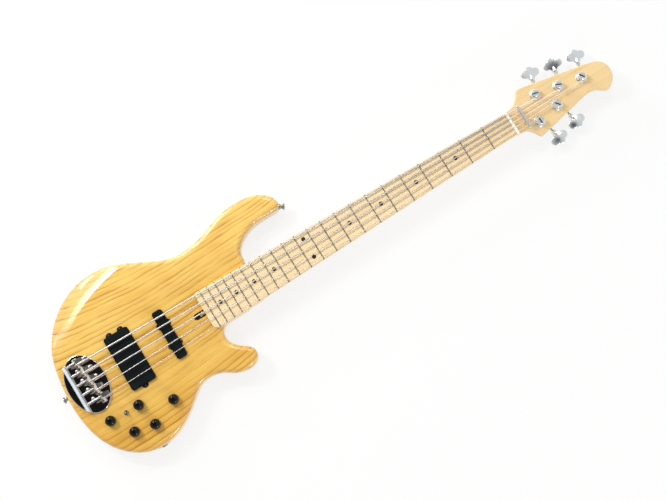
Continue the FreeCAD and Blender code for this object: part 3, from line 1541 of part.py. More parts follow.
def make_pots():
    case = s.pot_diameter / 2
    bushing = s.pot_bushing_diameter / 2
    hole = s.pot_shaft_diameter / 2 + s.running_gap
    rise = s.roof_thickness + s.pot_bushing_rise
    floor = -s.pot_height * 0.8
    pot = turned("pot_case", lathe((0, -s.pot_height), (case, -s.pot_height), (case, 0), (bushing, 0), (bushing, rise),
                                   (hole, rise), (hole, floor), (0, floor)))
    copies("potentiometers", [(pot, at(*knob_place(knob), ROOF)) for knob in KNOB_PLACES])
    outer = s.pot_nut_diameter / 2
    inner = bushing
    nut = turned("pot_nut", lathe((inner, 0), (outer, 0), (outer, s.pot_nut_height), (inner, s.pot_nut_height)))
    small = s.switch_nut_diameter / 2
    small_inner = s.switch_bushing_diameter / 2
    switch_nut = turned("switch_nut", lathe((small_inner, 0), (small, 0), (small, s.switch_nut_height),
                                            (small_inner, s.switch_nut_height)))
    nuts = [(nut, at(*knob_place(knob), FACE)) for knob in KNOB_PLACES]
    nuts.append((switch_nut, at(s.switch_x, s.switch_y, FACE)))
    copies("control_nuts", nuts)


def make_knob(knob):
    """Domed knob pressed on its potentiometer's shaft."""
    outer = s.knob_diameter / 2
    recess = s.knob_recess_diameter / 2
    shaft = s.pot_shaft_diameter / 2
    top = s.knob_height
    edge = s.knob_edge_round
    side = s.knob_side
    shaft_top = s.pot_shaft_rise - s.knob_lift
    bulge = (outer * 0.77, side + (top - side) * 0.69)
    corner = (outer - edge * 0.3, edge * 0.3)
    profile = [((recess, 0),), ((outer - edge, 0),), (corner, (outer, edge)), ((outer - 0.3, side),), (bulge, (0, top)),
               ((0, shaft_top),), ((shaft, shaft_top),), ((shaft, s.knob_recess_depth),), ((recess, s.knob_recess_depth),)]
    cap = turned(knob + "_cap", profile)
    x, y = knob_place(knob)
    cap.Placement = at(x, y, FACE + s.knob_lift)
    bottom = ROOF - s.pot_height * 0.8 + s.fit_gap
    spindle = doc.addObject("Part::Cylinder", knob + "_shaft")
    bind(spindle, Radius="Sizes.pot_shaft_diameter / 2")
    spindle.Height = FACE + s.pot_shaft_rise - bottom
    spindle.Placement = at(x, y, bottom)
    doc.recompute()
    group = doc.addObject("Part::Compound", knob + "_knob")
    group.Links = [cap, spindle]
    doc.recompute()
    node(group, knob + "_knob")


def make_switch():
    """Miniature toggle: case under the roof, threaded bushing through it, lever in its bore."""
    body = new_body("switch_case")
    plan = rounded_box(0, 0, s.switch_case_length, s.switch_case_width, 0.6)
    pad(body, "switch_box", sketch(body, "switch_plan", "XY_Plane", plan, level(-s.switch_case_height)),
        s.switch_case_height, Length="Sizes.switch_case_height")
    rise = s.roof_thickness + s.switch_bushing_rise
    tube = sketch(body, "switch_bushing_plan", "XY_Plane", [circle(0, 0, s.switch_bushing_diameter / 2)])
    pad(body, "switch_bushing", tube, rise, Length="Sizes.roof_thickness + Sizes.switch_bushing_rise")
    hole = sketch(body, "switch_bore_plan", "XY_Plane", [circle(0, 0, s.switch_bore_diameter / 2)], level(rise))
    ball = s.lever_ball_diameter / 2
    pocket(body, "switch_bore", hole, s.switch_bushing_rise + ball + s.fit_gap)
    body.Placement = at(s.switch_x, s.switch_y, ROOF)
    node(body, "switch_case")
    root = s.lever_root_diameter / 2
    tip = s.lever_tip_diameter / 2
    length = s.lever_length
    start = math.sqrt(ball ** 2 - root ** 2)
    profile = [((0, -ball),), ((ball, 0), (root, start)), ((tip, length - tip),), ((tip * 0.7, length - tip * 0.3), (0, length))]
    lever = turned("switch_bat", profile)
    lever.Placement = at(s.switch_x, s.switch_y, FACE)
    node(lever, "switch_lever")


def make_preamp():
    board = new_body("preamp_plate")
    plan = rounded_box(s.board_plate_x, s.board_plate_y, s.board_plate_length, s.board_plate_width, 2)
    top = ROOF - s.pot_height
    drawing = sketch(board, "board_plate_plan", "XY_Plane", plan, level(top - s.board_plate_thickness))
    pad(board, "board_plate", drawing, s.board_plate_thickness, Length="Sizes.board_plate_thickness")
    node(board, "preamp_board")


def make_battery():
    """Nine-volt block that lies on the cavity's cover."""
    body = new_body("battery_block")
    plan = rounded_box(s.battery_x, s.battery_y, s.battery_length, s.battery_width, s.battery_corner)
    pad(body, "battery_case", sketch(body, "battery_plan", "XY_Plane", plan, level(s.cover_thickness)),
        s.battery_height, Length="Sizes.battery_height")
    half = s.battery_length / 2
    terminals = [circle(side * s.battery_width / 4, s.battery_height / 2, s.terminal_diameter / 2) for side in (-1, 1)]
    offset = Placement(V(s.battery_y, s.cover_thickness, s.battery_x + half), Rotation())
    pad(body, "terminals", sketch(body, "terminal_plan", "YZ_Plane", terminals, offset), s.terminal_height,
        Length="Sizes.terminal_height")
    node(body, "battery")


def make_control_cover():
    body = new_body("cover_plate")
    plan = sketch(body, "cover_plan", "XY_Plane", belt(cavity_ring(), s.cover_reach - s.fit_gap))
    pad(body, "cover", plan, s.cover_thickness, Length="Sizes.cover_thickness")
    taper = cover_screw_taper()
    for index, (x, y) in enumerate(cover_screw_places()):
        bore(body, "cover_hole_%d" % index, s.cover_screw_diameter / 2, s.cover_thickness, at(x, y, 0))
        sink = body.newObject("PartDesign::SubtractiveCone", "cover_sink_%d" % index)
        sink.Radius1 = s.cover_screw_head / 2
        sink.Radius2 = s.cover_screw_diameter / 2
        sink.Height = taper
        sink.Placement = at(x, y, 0)
        doc.recompute()
    node(body, "control_cover")
    head = s.cover_screw_head / 2
    shank = s.cover_screw_diameter / 2
    tip = s.cover_screw_length
    screw = turned("cover_screw", lathe((0, 0), (head, 0), (shank, taper), (shank, tip - 2 * shank), (0, tip)))
    copies("control_cover_screws", [(screw, at(x, y, 0)) for x, y in cover_screw_places()])


def cover_screw_taper():
    return (s.cover_screw_head - s.cover_screw_diameter) / 2


def make_jack():
    """Barrel jack behind a square plate in the lower side; its bore takes a quarter-inch plug."""
    body = new_body("jack_barrel")
    outline = rounded_box(0, 0, s.jack_plate_side, s.jack_plate_side, s.jack_plate_corner)
    plate = pad(body, "jack_plate", sketch(body, "jack_plate_plan", "XY_Plane", outline), s.jack_plate_thickness,
                Length="Sizes.jack_plate_thickness")
    fillet(body, "jack_plate_edge", plate, edges_at_height(plate.Shape, s.jack_plate_thickness),
           "Sizes.jack_plate_thickness * 0.3")
    reach = s.jack_barrel_length - s.jack_seat_depth
    sleeve = sketch(body, "jack_sleeve_plan", "XY_Plane", [circle(0, 0, s.jack_barrel_diameter / 2)], level(-reach))
    pad(body, "jack_sleeve", sleeve, reach, Length="Sizes.jack_barrel_length - Sizes.jack_seat_depth")
    collar = [circle(0, 0, s.jack_collar_diameter / 2)]
    pad(body, "jack_collar", sketch(body, "jack_collar_plan", "XY_Plane", collar, level(s.jack_plate_thickness)),
        s.jack_collar_height, Length="Sizes.jack_collar_height")
    mouth = level(s.jack_plate_thickness + s.jack_collar_height)
    hole = sketch(body, "jack_bore_plan", "XY_Plane", [circle(0, 0, s.jack_bore_diameter / 2)], mouth)
    pocket(body, "jack_bore", hole, s.jack_bore_length, Length="Sizes.jack_bore_length")
    body.Placement = sunk(jack_place(), s.jack_seat_depth)
    node(body, "output_jack")


def make_strap_buttons():
    base = s.strap_base_diameter / 2
    waist = s.strap_waist_diameter / 2
    head = s.strap_head_diameter / 2
    length = s.strap_length + s.strap_seat_depth
    screw_head = s.strap_screw_head / 2
    hole = s.strap_screw_diameter / 2
    sink = 2.4
    button = turned("strap_button", [
        ((hole, 0),), ((base, 0),), ((base, 2.2),), ((waist + 0.5, 3.6), (waist, 5.2)),
        ((waist + 0.8, length - 3.6), (head, length - 2.0)), ((head, length - 1.0),), ((head - 0.9, length),),
        ((screw_head, length),), ((screw_head, length - sink),), ((hole, length - sink),)])
    places = [sunk(place, s.strap_seat_depth) for place in strap_places()]
    copies("strap_buttons", [(button, place) for place in places])
    tip = s.strap_seat_depth - s.strap_screw_length
    screw = turned("strap_screw", [
        ((0, tip),), ((hole, tip + 2 * hole),), ((hole, length - sink),), ((screw_head, length - sink),),
        ((screw_head, length - 1.2),), ((screw_head * 0.6, length - 0.5), (0, length - 0.3))])
    copies("strap_button_screws", [(screw, place) for place in places])


# Headstock hardware: string bar and tuners

def make_retainer():
    body = new_body("retainer_bar")
    plan = rounded_box(BAR_X, 0, s.bar_width, s.bar_length, s.bar_width / 2 * 0.9)
    bar = pad(body, "bar", sketch(body, "bar_plan", "XY_Plane", plan, level(BAR_BOTTOM)), s.bar_height,
              Length="Sizes.bar_height")
    fillet(body, "bar_edge", bar, edges_at_height(bar.Shape, BAR_BOTTOM + s.bar_height), "Sizes.bar_height * 0.3")
    legs = [circle(x, y, s.bar_leg_diameter / 2) for x, y in bar_screw_places()]
    for index, leg in enumerate(legs):
        drawing = sketch(body, "leg_plan_%d" % index, "XY_Plane", [leg], level(HEAD_FACE))
        pad(body, "leg_%d" % index, drawing, s.bar_lift, Length="Sizes.bar_lift")
    holes = [circle(x, y, s.bar_screw_diameter / 2) for x, y in bar_screw_places()]
    top = BAR_BOTTOM + s.bar_height
    pocket(body, "bar_holes", sketch(body, "bar_hole_plan", "XY_Plane", holes, level(top)), top - HEAD_FACE,
           Length="Sizes.bar_height + Sizes.bar_lift")
    node(body, "string_retainer")
    shank = s.bar_screw_diameter / 2
    head = s.bar_screw_head / 2
    tip = s.bar_height + s.bar_lift + s.bar_screw_bite
    screw = turned("bar_screw", [((0, -tip),), ((shank, -tip + 2 * shank),), ((shank, 0),), ((head, 0),), ((head, 0.6),),
                                 ((head * 0.6, 1.3), (0, 1.5))])
    copies("retainer_screws", [(screw, at(x, y, top)) for x, y in bar_screw_places()])


def make_housing(side):
    """Sealed gear housing of a tuner for one side of the headstock, in the tuner's own frame."""
    name = "housing_bass" if side > 0 else "housing_treble"
    body = new_body(name)
    low, high = sorted((-side * s.housing_inner, side * s.housing_outer))
    length = s.housing_back + s.housing_front
    middle = (s.housing_front - s.housing_back) / 2
    plan = rounded_box(middle, (low + high) / 2, length, high - low, s.housing_corner)
    block = pad(body, name + "_block", sketch(body, name + "_plan", "XY_Plane", plan, level(-s.housing_height)),
                s.housing_height, Length="Sizes.housing_height")
    fillet(body, name + "_edge", block, edges_at_height(block.Shape, -s.housing_height), "Sizes.housing_round")
    tab = s.housing_tab_reach
    strap = rounded_box(middle, 0, length + 2 * tab, 2 * tab, tab * 0.95)
    pad(body, name + "_tabs", sketch(body, name + "_tab_plan", "XY_Plane", strap, level(-s.housing_tab_thickness)),
        s.housing_tab_thickness, Length="Sizes.housing_tab_thickness")
    drawing = sketch(body, name + "_collar_plan", "XZ_Plane", [circle(s.worm_offset, -s.worm_drop, s.collar_diameter / 2)],
                     level(-side * s.housing_outer * 0.8))
    collar = pad(body, name + "_collar", drawing, s.collar_length + s.housing_outer * 0.2)
    collar.Reversed = side > 0
    doc.recompute()
    bore(body, name + "_post_bore", s.post_diameter / 2 + s.running_gap, s.post_foot, at(0, 0, -s.post_foot))
    reach = s.housing_outer + s.collar_length
    bore(body, name + "_stem_bore", s.stem_diameter / 2 + s.running_gap, s.stem_bite,
         at(s.worm_offset, side * (reach - s.stem_bite), -s.worm_drop, along(V(0, side, 0))))
    for index, (x, y) in enumerate(tuner_screw_places("b")):
        bore(body, "%s_screw_hole_%d" % (name, index), s.tuner_screw_diameter / 2, s.housing_tab_thickness,
             at(x, y, -s.housing_tab_thickness))
    return body


def make_tuners():
    housings = {1: make_housing(1), -1: make_housing(-1)}
    copies("tuner_housings", [(housings[tuner_side(t)], tuner_place(t, HEAD_BACK)) for t in STRINGS])
    outer = s.bushing_diameter / 2
    flange = s.bushing_flange / 2
    inner = s.post_diameter / 2 + s.running_gap
    top = s.head_thickness + s.bushing_flange_height
    bushing = turned("post_bushing", lathe((inner, 0), (outer, 0), (outer, s.head_thickness), (flange, s.head_thickness),
                                           (flange, top - 1.0), (flange - 1.4, top), (inner, top)))
    copies("tuner_bushings", [(bushing, tuner_place(t, HEAD_BACK)) for t in STRINGS])
    shank = s.tuner_screw_diameter / 2
    head = s.tuner_screw_head / 2
    deep = s.housing_tab_thickness
    screw = turned("tuner_screw", [((0, s.tuner_screw_bite),), ((shank, s.tuner_screw_bite - 2 * shank),), ((shank, -deep),),
                                   ((head, -deep),), ((head * 0.72, -deep - 0.9), (0, -deep - 1.3))])
    spots = []
    for string in STRINGS:
        for x, y in tuner_screw_places(string):
            spots.append((screw, tuner_place(string, HEAD_BACK).multiply(at(x, y, 0))))
    copies("tuner_screws", spots)
    for string in STRINGS:
        make_post(string)
        make_key(string)


def make_post(string):
    """String post: shaft in its bushing, waist for the winding, slotted cap."""
    shaft = s.post_diameter / 2
    waist = s.post_waist_diameter / 2
    cap = s.post_cap_diameter / 2
    foot = -s.post_foot + s.fit_gap
    bushing_top = s.head_thickness + s.bushing_flange_height
    top = s.head_thickness + s.post_rise
    under_cap = top - s.post_cap_height
    post = turned("post_" + string, [
        ((0, foot),), ((shaft, foot),), ((shaft, bushing_top),), ((waist, bushing_top),), ((waist, under_cap - 1.0),),
        ((cap, under_cap),), ((cap, top - 0.8),), ((cap - 0.8, top),), ((0, top),)])
    slot = rounded_box(0, 0, 2 * s.post_cap_diameter, s.post_slot_width, 0.4)
    drawing = sketch(post, "post_slot_plan_" + string, "XY_Plane", slot, level(top))
    pocket(post, "post_slot_" + string, drawing, s.post_slot_depth, Length="Sizes.post_slot_depth")
    place = tuner_place(string, HEAD_BACK)
    turn = SLOT_TURNS[string] - tuner_row(string)[2]
    post.Placement = place.multiply(Placement(V(), Rotation(Z_AXIS, turn)))
    node(post, "tuner_post_" + string)


def key_outline():
    """Cloverleaf key in its own plane, stem along Y: two side lobes, a top lobe and a neck."""
    side = s.key_lobe_radius
    top = s.key_top_lobe_radius
    side_x = s.key_span / 2
    side_y = s.key_centre + s.key_side_lobe_rise
    top_y = s.key_centre + s.key_top_lobe_rise
    on_side = V(side_x, side_y, 0) + heading_vector(100) * side
    on_top = V(0, top_y, 0) + heading_vector(45) * top
    half = [
        (V(s.key_neck_width / 2, s.key_neck_start, 0), 90),
        (V(side_x, side_y - side, 0), 0),
        (V(side_x + side, side_y, 0), 90),
        (on_side, 190),
        (on_top, 135),
        (V(0, top_y + top, 0), 180),
    ]
    other = [(V(-spot.x, spot.y, 0), -heading) for spot, heading in reversed(half[:-1])]
    knots = half + other
    curves = []
    for (start, leaving), (end, arriving) in zip(knots, knots[1:]):
        curves += biarc(start, heading_vector(leaving), end, heading_vector(arriving))
    curves.append(Part.LineSegment(knots[-1][0], knots[0][0]))
    return curves


def make_key(string):
    """Cloverleaf key and its stem, which runs into the housing's bore."""
    body = new_body("key_" + string)
    drawing = sketch(body, "key_plan_" + string, "XY_Plane", key_outline(), level(-s.key_thickness / 2))
    leaf = pad(body, "key_leaf_" + string, drawing, s.key_thickness, Length="Sizes.key_thickness")
    rims = edges_at_height(leaf.Shape, -s.key_thickness / 2) + edges_at_height(leaf.Shape, s.key_thickness / 2)
    fillet(body, "key_edge_" + string, leaf, rims, "Sizes.key_round")
    stem = s.stem_diameter / 2
    start = s.housing_outer + s.collar_length - s.stem_bite + s.fit_gap
    shoulder = s.housing_outer + s.collar_length + 4 * s.running_gap
    collar = s.collar_diameter / 2
    boss = s.key_centre
    profile = polygon([(0, start), (stem, start), (stem, shoulder), (collar, shoulder), (collar, shoulder + 1.6),
                       (stem * 0.9, shoulder + 3.4), (stem * 0.9, s.key_neck_start - 3), (s.key_neck_width / 2, s.key_neck_start + 2),
                       (s.key_neck_width / 2, s.key_neck_start + 7), (1.0, boss), (0, boss)])
    turning = sketch(body, "stem_profile_" + string, "XY_Plane", profile)
    feature = body.newObject("PartDesign::Revolution", "stem_" + string)
    feature.Profile = turning
    feature.ReferenceAxis = (turning, ["V_Axis"])
    feature.Angle = 360
    doc.recompute()
    side = tuner_side(string)
    frame = tuner_place(string, HEAD_BACK)
    spin = Rotation(Y_AXIS, KEY_TILTS[string])
    facing = Rotation() if side > 0 else Rotation(X_AXIS, 180)
    local = Placement(V(s.worm_offset, 0, -s.worm_drop), facing.multiply(spin))
    body.Placement = frame.multiply(local)
    node(body, "tuner_key_" + string)


def check_document():
    """Stop on any failed object or bad shape."""
    doc.recompute()
    for piece in doc.Objects:
        if "Invalid" in piece.State or "Error" in piece.State:
            raise RuntimeError(piece.Name + " failed")
    for piece in nodes:
        if piece.Shape.isNull() or not piece.Shape.isValid():
            raise RuntimeError(piece.Label + " has a bad shape")


def export_nodes():
    os.makedirs("parts", exist_ok=True)
    for piece in nodes:
        piece.Shape.exportStep("parts/%s.step" % piece.Label)


make_body()
make_neck()
make_fingerboard()
make_frets()
make_markers()
make_nut()
make_truss_rod()
make_neck_bolts()
make_bridge_plate()
make_bridge_screws()
for string_name in STRINGS:
    make_saddle(string_name)
    make_intonation_screw(string_name)
make_string_ferrules()
make_strings()
make_pickups()
make_pots()
for knob_name in KNOB_PLACES:
    make_knob(knob_name)
make_switch()
make_preamp()
make_battery()
make_control_cover()
make_jack()
make_strap_buttons()
make_retainer()
make_tuners()
check_document()
export_nodes()
print("%d nodes" % len(nodes))
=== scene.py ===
import math

import bmesh
import bpy
from mathutils import Matrix, Quaternion, Vector


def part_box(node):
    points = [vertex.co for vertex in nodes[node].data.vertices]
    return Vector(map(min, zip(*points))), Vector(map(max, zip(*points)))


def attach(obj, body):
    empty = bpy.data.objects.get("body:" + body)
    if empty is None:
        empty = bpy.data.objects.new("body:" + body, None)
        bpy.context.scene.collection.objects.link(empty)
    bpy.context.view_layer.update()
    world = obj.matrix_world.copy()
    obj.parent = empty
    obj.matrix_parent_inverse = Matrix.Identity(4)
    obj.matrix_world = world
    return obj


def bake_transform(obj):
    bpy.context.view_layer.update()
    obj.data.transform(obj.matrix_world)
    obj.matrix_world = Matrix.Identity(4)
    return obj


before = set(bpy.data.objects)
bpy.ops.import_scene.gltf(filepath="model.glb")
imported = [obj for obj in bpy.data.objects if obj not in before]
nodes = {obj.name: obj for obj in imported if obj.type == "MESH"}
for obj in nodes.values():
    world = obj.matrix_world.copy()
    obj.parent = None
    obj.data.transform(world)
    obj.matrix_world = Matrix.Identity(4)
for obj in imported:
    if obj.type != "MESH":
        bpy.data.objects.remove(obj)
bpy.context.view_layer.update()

# Studio: a pale floor under the bass, an even soft sky with one black flag hung overhead,
# softboxes on the bass side and by the headstock, and two low strips that draw the rims.
# The camera stands where it was fitted to the frets, the strings and the bridge.

scene = bpy.context.scene
scene.view_settings.view_transform = "Standard"

photo_width_px = 667
focal_px = 1385.164
camera_place = Vector((0.373163, -0.307926, 2.528377))
camera_turn = Vector((-0.12354796, 0.01600865, 0.55227534))
camera_data = bpy.data.cameras.new("photo_camera")
camera_data.sensor_fit = "HORIZONTAL"
camera_data.sensor_width = 36.0
camera_data.lens = focal_px * camera_data.sensor_width / photo_width_px
camera_data.clip_end = 50.0
camera = bpy.data.objects.new("photo_camera", camera_data)
scene.collection.objects.link(camera)
turn = Quaternion(camera_turn.normalized(), camera_turn.length).to_matrix()
camera.matrix_world = Matrix.Translation(camera_place) @ turn.transposed().to_4x4()
scene.camera = camera


def new_nodes(tree):
    """Short way to add nodes to a tree, with socket values or links given by name."""
    def add(kind, inputs=None, **settings):
        made = tree.nodes.new("ShaderNode" + kind)
        for setting, value in settings.items():
            setattr(made, setting, value)
        for socket, value in (inputs or {}).items():
            if isinstance(value, bpy.types.NodeSocket):
                tree.links.new(value, made.inputs[socket])
            else:
                made.inputs[socket].default_value = value
        return made
    return add


def make_ramp(add, factor, stops, interpolation="LINEAR"):
    """Colour ramp over a factor, from (place, grey or colour) stops."""
    ramp = add("ValToRGB", {"Fac": factor})
    ramp.color_ramp.interpolation = interpolation
    elements = ramp.color_ramp.elements
    while len(elements) < len(stops):
        elements.new(0.5)
    for element, (place, colour) in zip(elements, stops):
        element.position = place
        element.color = (colour, colour, colour, 1) if isinstance(colour, float) else (*colour, 1)
    return ramp.outputs["Color"]


def product(add, first, second):
    """first * second, each a value or a socket."""
    return add("Math", {0: first, 1: second}, operation="MULTIPLY").outputs[0]


def sum_of(add, first, factor, second):
    """first * factor + second, each a value or a socket."""
    return add("Math", {0: first, 1: factor, 2: second}, operation="MULTIPLY_ADD").outputs[0]


sky_stops = [(0.0, 0.96), (0.16, 0.88), (0.42, 0.58), (1.0, 0.58)]
headstock_lift = 0.55
flag_side = (-0.15, 0.09, 0.985)
flag_core_degrees = 4.5
flag_fade_degrees = 15.0
flag_black = (0.012, 0.012, 0.013, 1)

world = bpy.data.worlds.new("studio_sky")
scene.world = world
world.use_nodes = True
sky_add = new_nodes(world.node_tree)
sky_direction = sky_add("TexCoord").outputs["Generated"]
sky_axes = sky_add("SeparateXYZ", {"Vector": sky_direction}).outputs
sky_tone = make_ramp(sky_add, sky_axes["Z"], sky_stops, "EASE")
sky_slant = product(sky_add, sky_axes["X"], sky_axes["Z"])
sky_lift = sum_of(sky_add, sky_slant, headstock_lift, 1.0)
sky_tone = sky_add("VectorMath", {0: sky_tone, "Scale": sky_lift}, operation="SCALE").outputs["Vector"]
flag_near = sky_add("VectorMath", {0: sky_direction, 1: flag_side}, operation="DOT_PRODUCT")
flag_fade = {
    "Value": flag_near.outputs["Value"],
    "From Min": math.cos(math.radians(flag_fade_degrees)),
    "From Max": math.cos(math.radians(flag_core_degrees)),
}
flag_share = sky_add("MapRange", flag_fade, interpolation_type="SMOOTHSTEP").outputs["Result"]
sky_mix = sky_add("Mix", {0: flag_share, 6: sky_tone, 7: flag_black}, data_type="RGBA")
sky = world.node_tree.nodes["Background"]
world.node_tree.links.new(sky_mix.outputs[2], sky.inputs["Color"])
sky.inputs["Strength"].default_value = 1.0


def hang_softbox(name, place, aim, size, watts, colour):
    """Rectangular lamp that faces a point of the bass."""
    lamp_data = bpy.data.lights.new(name, "AREA")
    lamp_data.shape = "RECTANGLE"
    lamp_data.size, lamp_data.size_y = size
    lamp_data.energy = watts
    lamp_data.color = colour
    lamp = bpy.data.objects.new(name, lamp_data)
    scene.collection.objects.link(lamp)
    lamp.location = place
    lamp.rotation_euler = (Vector(aim) - Vector(place)).to_track_quat("-Z", "Y").to_euler()


warm_white = (1.0, 0.985, 0.96)
cool_white = (0.95, 0.98, 1.0)
key_place = (-0.40, 1.60, 1.88)
key_aim = (0.15, 0.05, 0.0)
hang_softbox("bass_side_bulb", key_place, key_aim, size=(0.22, 0.22), watts=7.5, colour=warm_white)
hang_softbox("bass_side_softbox", key_place, key_aim, size=(0.46, 0.54), watts=10.0, colour=warm_white)
hang_softbox("bass_side_scrim", key_place, key_aim, size=(0.84, 1.00), watts=17.5, colour=warm_white)
hang_softbox("low_bass_strip", place=(-0.25, 2.55, 0.85), aim=(0.15, 0.0, 0.02),
             size=(1.30, 0.50), watts=26.0, colour=cool_white)
hang_softbox("low_treble_strip", place=(0.65, -2.45, 0.85), aim=(0.15, -0.05, 0.02),
             size=(0.60, 0.45), watts=17.0, colour=warm_white)
hang_softbox("headstock_softbox", place=(1.35, 1.2, 2.0), aim=(0.85, 0.0, 0.0),
             size=(0.50, 0.50), watts=9.0, colour=warm_white)

floor_reach = 12.0
floor_drop = 0.0006
floor_grey = (0.86, 0.86, 0.86, 1)
floor_glow_share = 0.80
floor_corners = [(-floor_reach, -floor_reach, 0), (floor_reach, -floor_reach, 0),
                 (floor_reach, floor_reach, 0), (-floor_reach, floor_reach, 0)]
floor_mesh = bpy.data.meshes.new("floor")
floor_mesh.from_pydata(floor_corners, [], [(0, 1, 2, 3)])
floor = bpy.data.objects.new("floor", floor_mesh)
scene.collection.objects.link(floor)
floor.location.z = -floor_drop
floor_paint = bpy.data.materials.new("floor_paint")
floor_paint.use_nodes = True
floor_tree = floor_paint.node_tree
floor_add = new_nodes(floor_tree)
ray = floor_add("LightPath").outputs
seen = floor_add("Math", {0: ray["Is Camera Ray"], 1: ray["Is Glossy Ray"]}, operation="MAXIMUM").outputs[0]
seen = floor_add("Math", {0: seen, 1: ray["Is Transmission Ray"]}, operation="MAXIMUM").outputs[0]
glow = floor_add("Emission", {"Color": (1, 1, 1, 1), "Strength": 1.0}).outputs[0]
matte = floor_add("BsdfDiffuse", {"Color": floor_grey}).outputs[0]
floor_mix = floor_add("MixShader", {0: product(floor_add, seen, floor_glow_share), 1: matte, 2: glow})
floor_tree.links.new(floor_mix.outputs[0], floor_tree.nodes["Material Output"].inputs["Surface"])
floor_mesh.materials.append(floor_paint)

# Body: one slab of ash, bandsawn and routed, with a forearm bevel; sanded and sprayed
# with clear gloss lacquer over an amber tint, so the pores and rings stay dark.


def new_finish(name):
    """Node material with its principled shader and a way to add and join nodes."""
    material = bpy.data.materials.new(name)
    material.use_nodes = True
    tree = material.node_tree
    return material, tree.nodes["Principled BSDF"], new_nodes(tree), tree.links.new


def dress(node_name, material):
    """Give a CAD node its finish."""
    mesh = nodes[node_name].data
    mesh.materials.clear()
    mesh.materials.append(material)
    for face in mesh.polygons:
        face.material_index = 0


def mix_colours(add, factor, first, second, mode="MIX"):
    """Mix of two colours, each a value or a socket; a colour mix takes them at sockets 6 and 7."""
    made = add("Mix", data_type="RGBA", blend_type=mode)
    tree = made.id_data
    for socket, value in ((0, factor), (6, first), (7, second)):
        if isinstance(value, bpy.types.NodeSocket):
            tree.links.new(value, made.inputs[socket])
        elif socket == 0:
            made.inputs[socket].default_value = value
        else:
            made.inputs[socket].default_value = (*value, 1)
    return made.outputs[2]


def tinted(add, colour, tint):
    """A colour darkened by a tint, each a value or a socket."""
    return mix_colours(add, 1.0, colour, tint, "MULTIPLY")


def within(add, value, low, high):
    """1 where a value lies between two bounds, else 0."""
    above = add("Math", {0: value, 1: low}, operation="GREATER_THAN").outputs[0]
    below = add("Math", {0: value, 1: high}, operation="LESS_THAN").outputs[0]
    return product(add, above, below)


def stretched_noise(add, place, stretch, scale=1.0, detail=3.0, roughness=0.55):
    """Noise drawn out along the grain by a mapping."""
    mapped = add("Mapping", {"Vector": place, "Scale": stretch}).outputs["Vector"]
    noise = add("TexNoise", {"Vector": mapped, "Scale": scale, "Detail": detail, "Roughness": roughness})
    return noise.outputs["Fac"]


grain_slope = 0.074
grain_fan_x = -0.30
grain_fan_y = 0.80
grain_dip = 0.55
waver_reach = 0.026
ripple_reach = 0.0052


def across_grain(add, place, x, y, z):
    """Distance across the grain, whose lines fan out over the body and waver as they run."""
    slope = sum_of(add, x, grain_fan_x, grain_slope)
    slope = sum_of(add, y, grain_fan_y, slope)
    fan = sum_of(add, x, slope, y)
    fan = sum_of(add, z, grain_dip, fan)
    waver = stretched_noise(add, place, (2.6, 9.0, 9.0), detail=2.0, roughness=0.5)
    ripple = stretched_noise(add, place, (22.0, 60.0, 60.0), detail=2.0, roughness=0.5)
    across = sum_of(add, waver, waver_reach, fan)
    return sum_of(add, ripple, ripple_reach, across)


rings_per_drift = 4.0


def growth_rings(add, across, per_metre, unevenness):
    """Place within its growth ring from 0 to 1, at uneven spacing, and the number of the ring."""
    drift_place = product(add, across, per_metre / rings_per_drift)
    drift = add("TexNoise", {"W": drift_place, "Scale": 1.0, "Detail": 1.0}, noise_dimensions="1D")
    phase = sum_of(add, across, per_metre, product(add, drift.outputs["Fac"], unevenness))
    ring = add("Math", {0: phase}, operation="FRACT").outputs[0]
    number = add("Math", {0: phase}, operation="FLOOR").outputs[0]
    return ring, number


def ring_marks(add, ring, number, stops, chances):
    """Dark line of each growth ring, made stronger or weaker by chance, ring by ring."""
    luck = add("TexWhiteNoise", {"W": number}, noise_dimensions="1D").outputs["Value"]
    return tinted(add, make_ramp(add, ring, stops), make_ramp(add, luck, chances))


wide_ring_stops = [(0.0, 0.95), (0.07, 0.56), (0.24, 0.22), (0.60, 0.04), (0.88, 0.09), (0.945, 1.0),
                   (1.0, 1.0)]
wide_ring_chances = [(0.05, 0.12), (0.42, 0.62), (0.75, 1.0)]
wide_ring_brown = (0.425, 0.155, 0.008)
fine_ring_stops = [(0.0, 0.70), (0.16, 0.14), (0.55, 0.0), (0.86, 0.12), (1.0, 0.80)]
fine_ring_chances = [(0.10, 0.10), (0.85, 1.0)]
fine_ring_brown = (0.535, 0.225, 0.018)
fine_ring_share = 0.95
patch_stops = [(0.36, 0.18), (0.58, 1.0)]
patches_end = {"From Min": -0.03, "From Max": -0.12, "To Max": 0.75}
no_tint = (1.0, 1.0, 1.0)
pore_stops = [(0.50, 0.0), (0.70, 1.0)]
early_wood_stops = [(0.0, 1.0), (0.35, 0.35), (0.8, 0.15), (1.0, 1.0)]
pore_brown = (0.45, 0.185, 0.018)
pore_share = 0.42
paler_to_bass_side = 1.7
paler_at_middle = 0.18
honey_stops = [(0.30, (0.762, 0.427, 0.059)), (0.85, (0.885, 0.583, 0.139))]
stain_stops = [(0.30, (0.90, 0.83, 0.68)), (0.56, no_tint)]


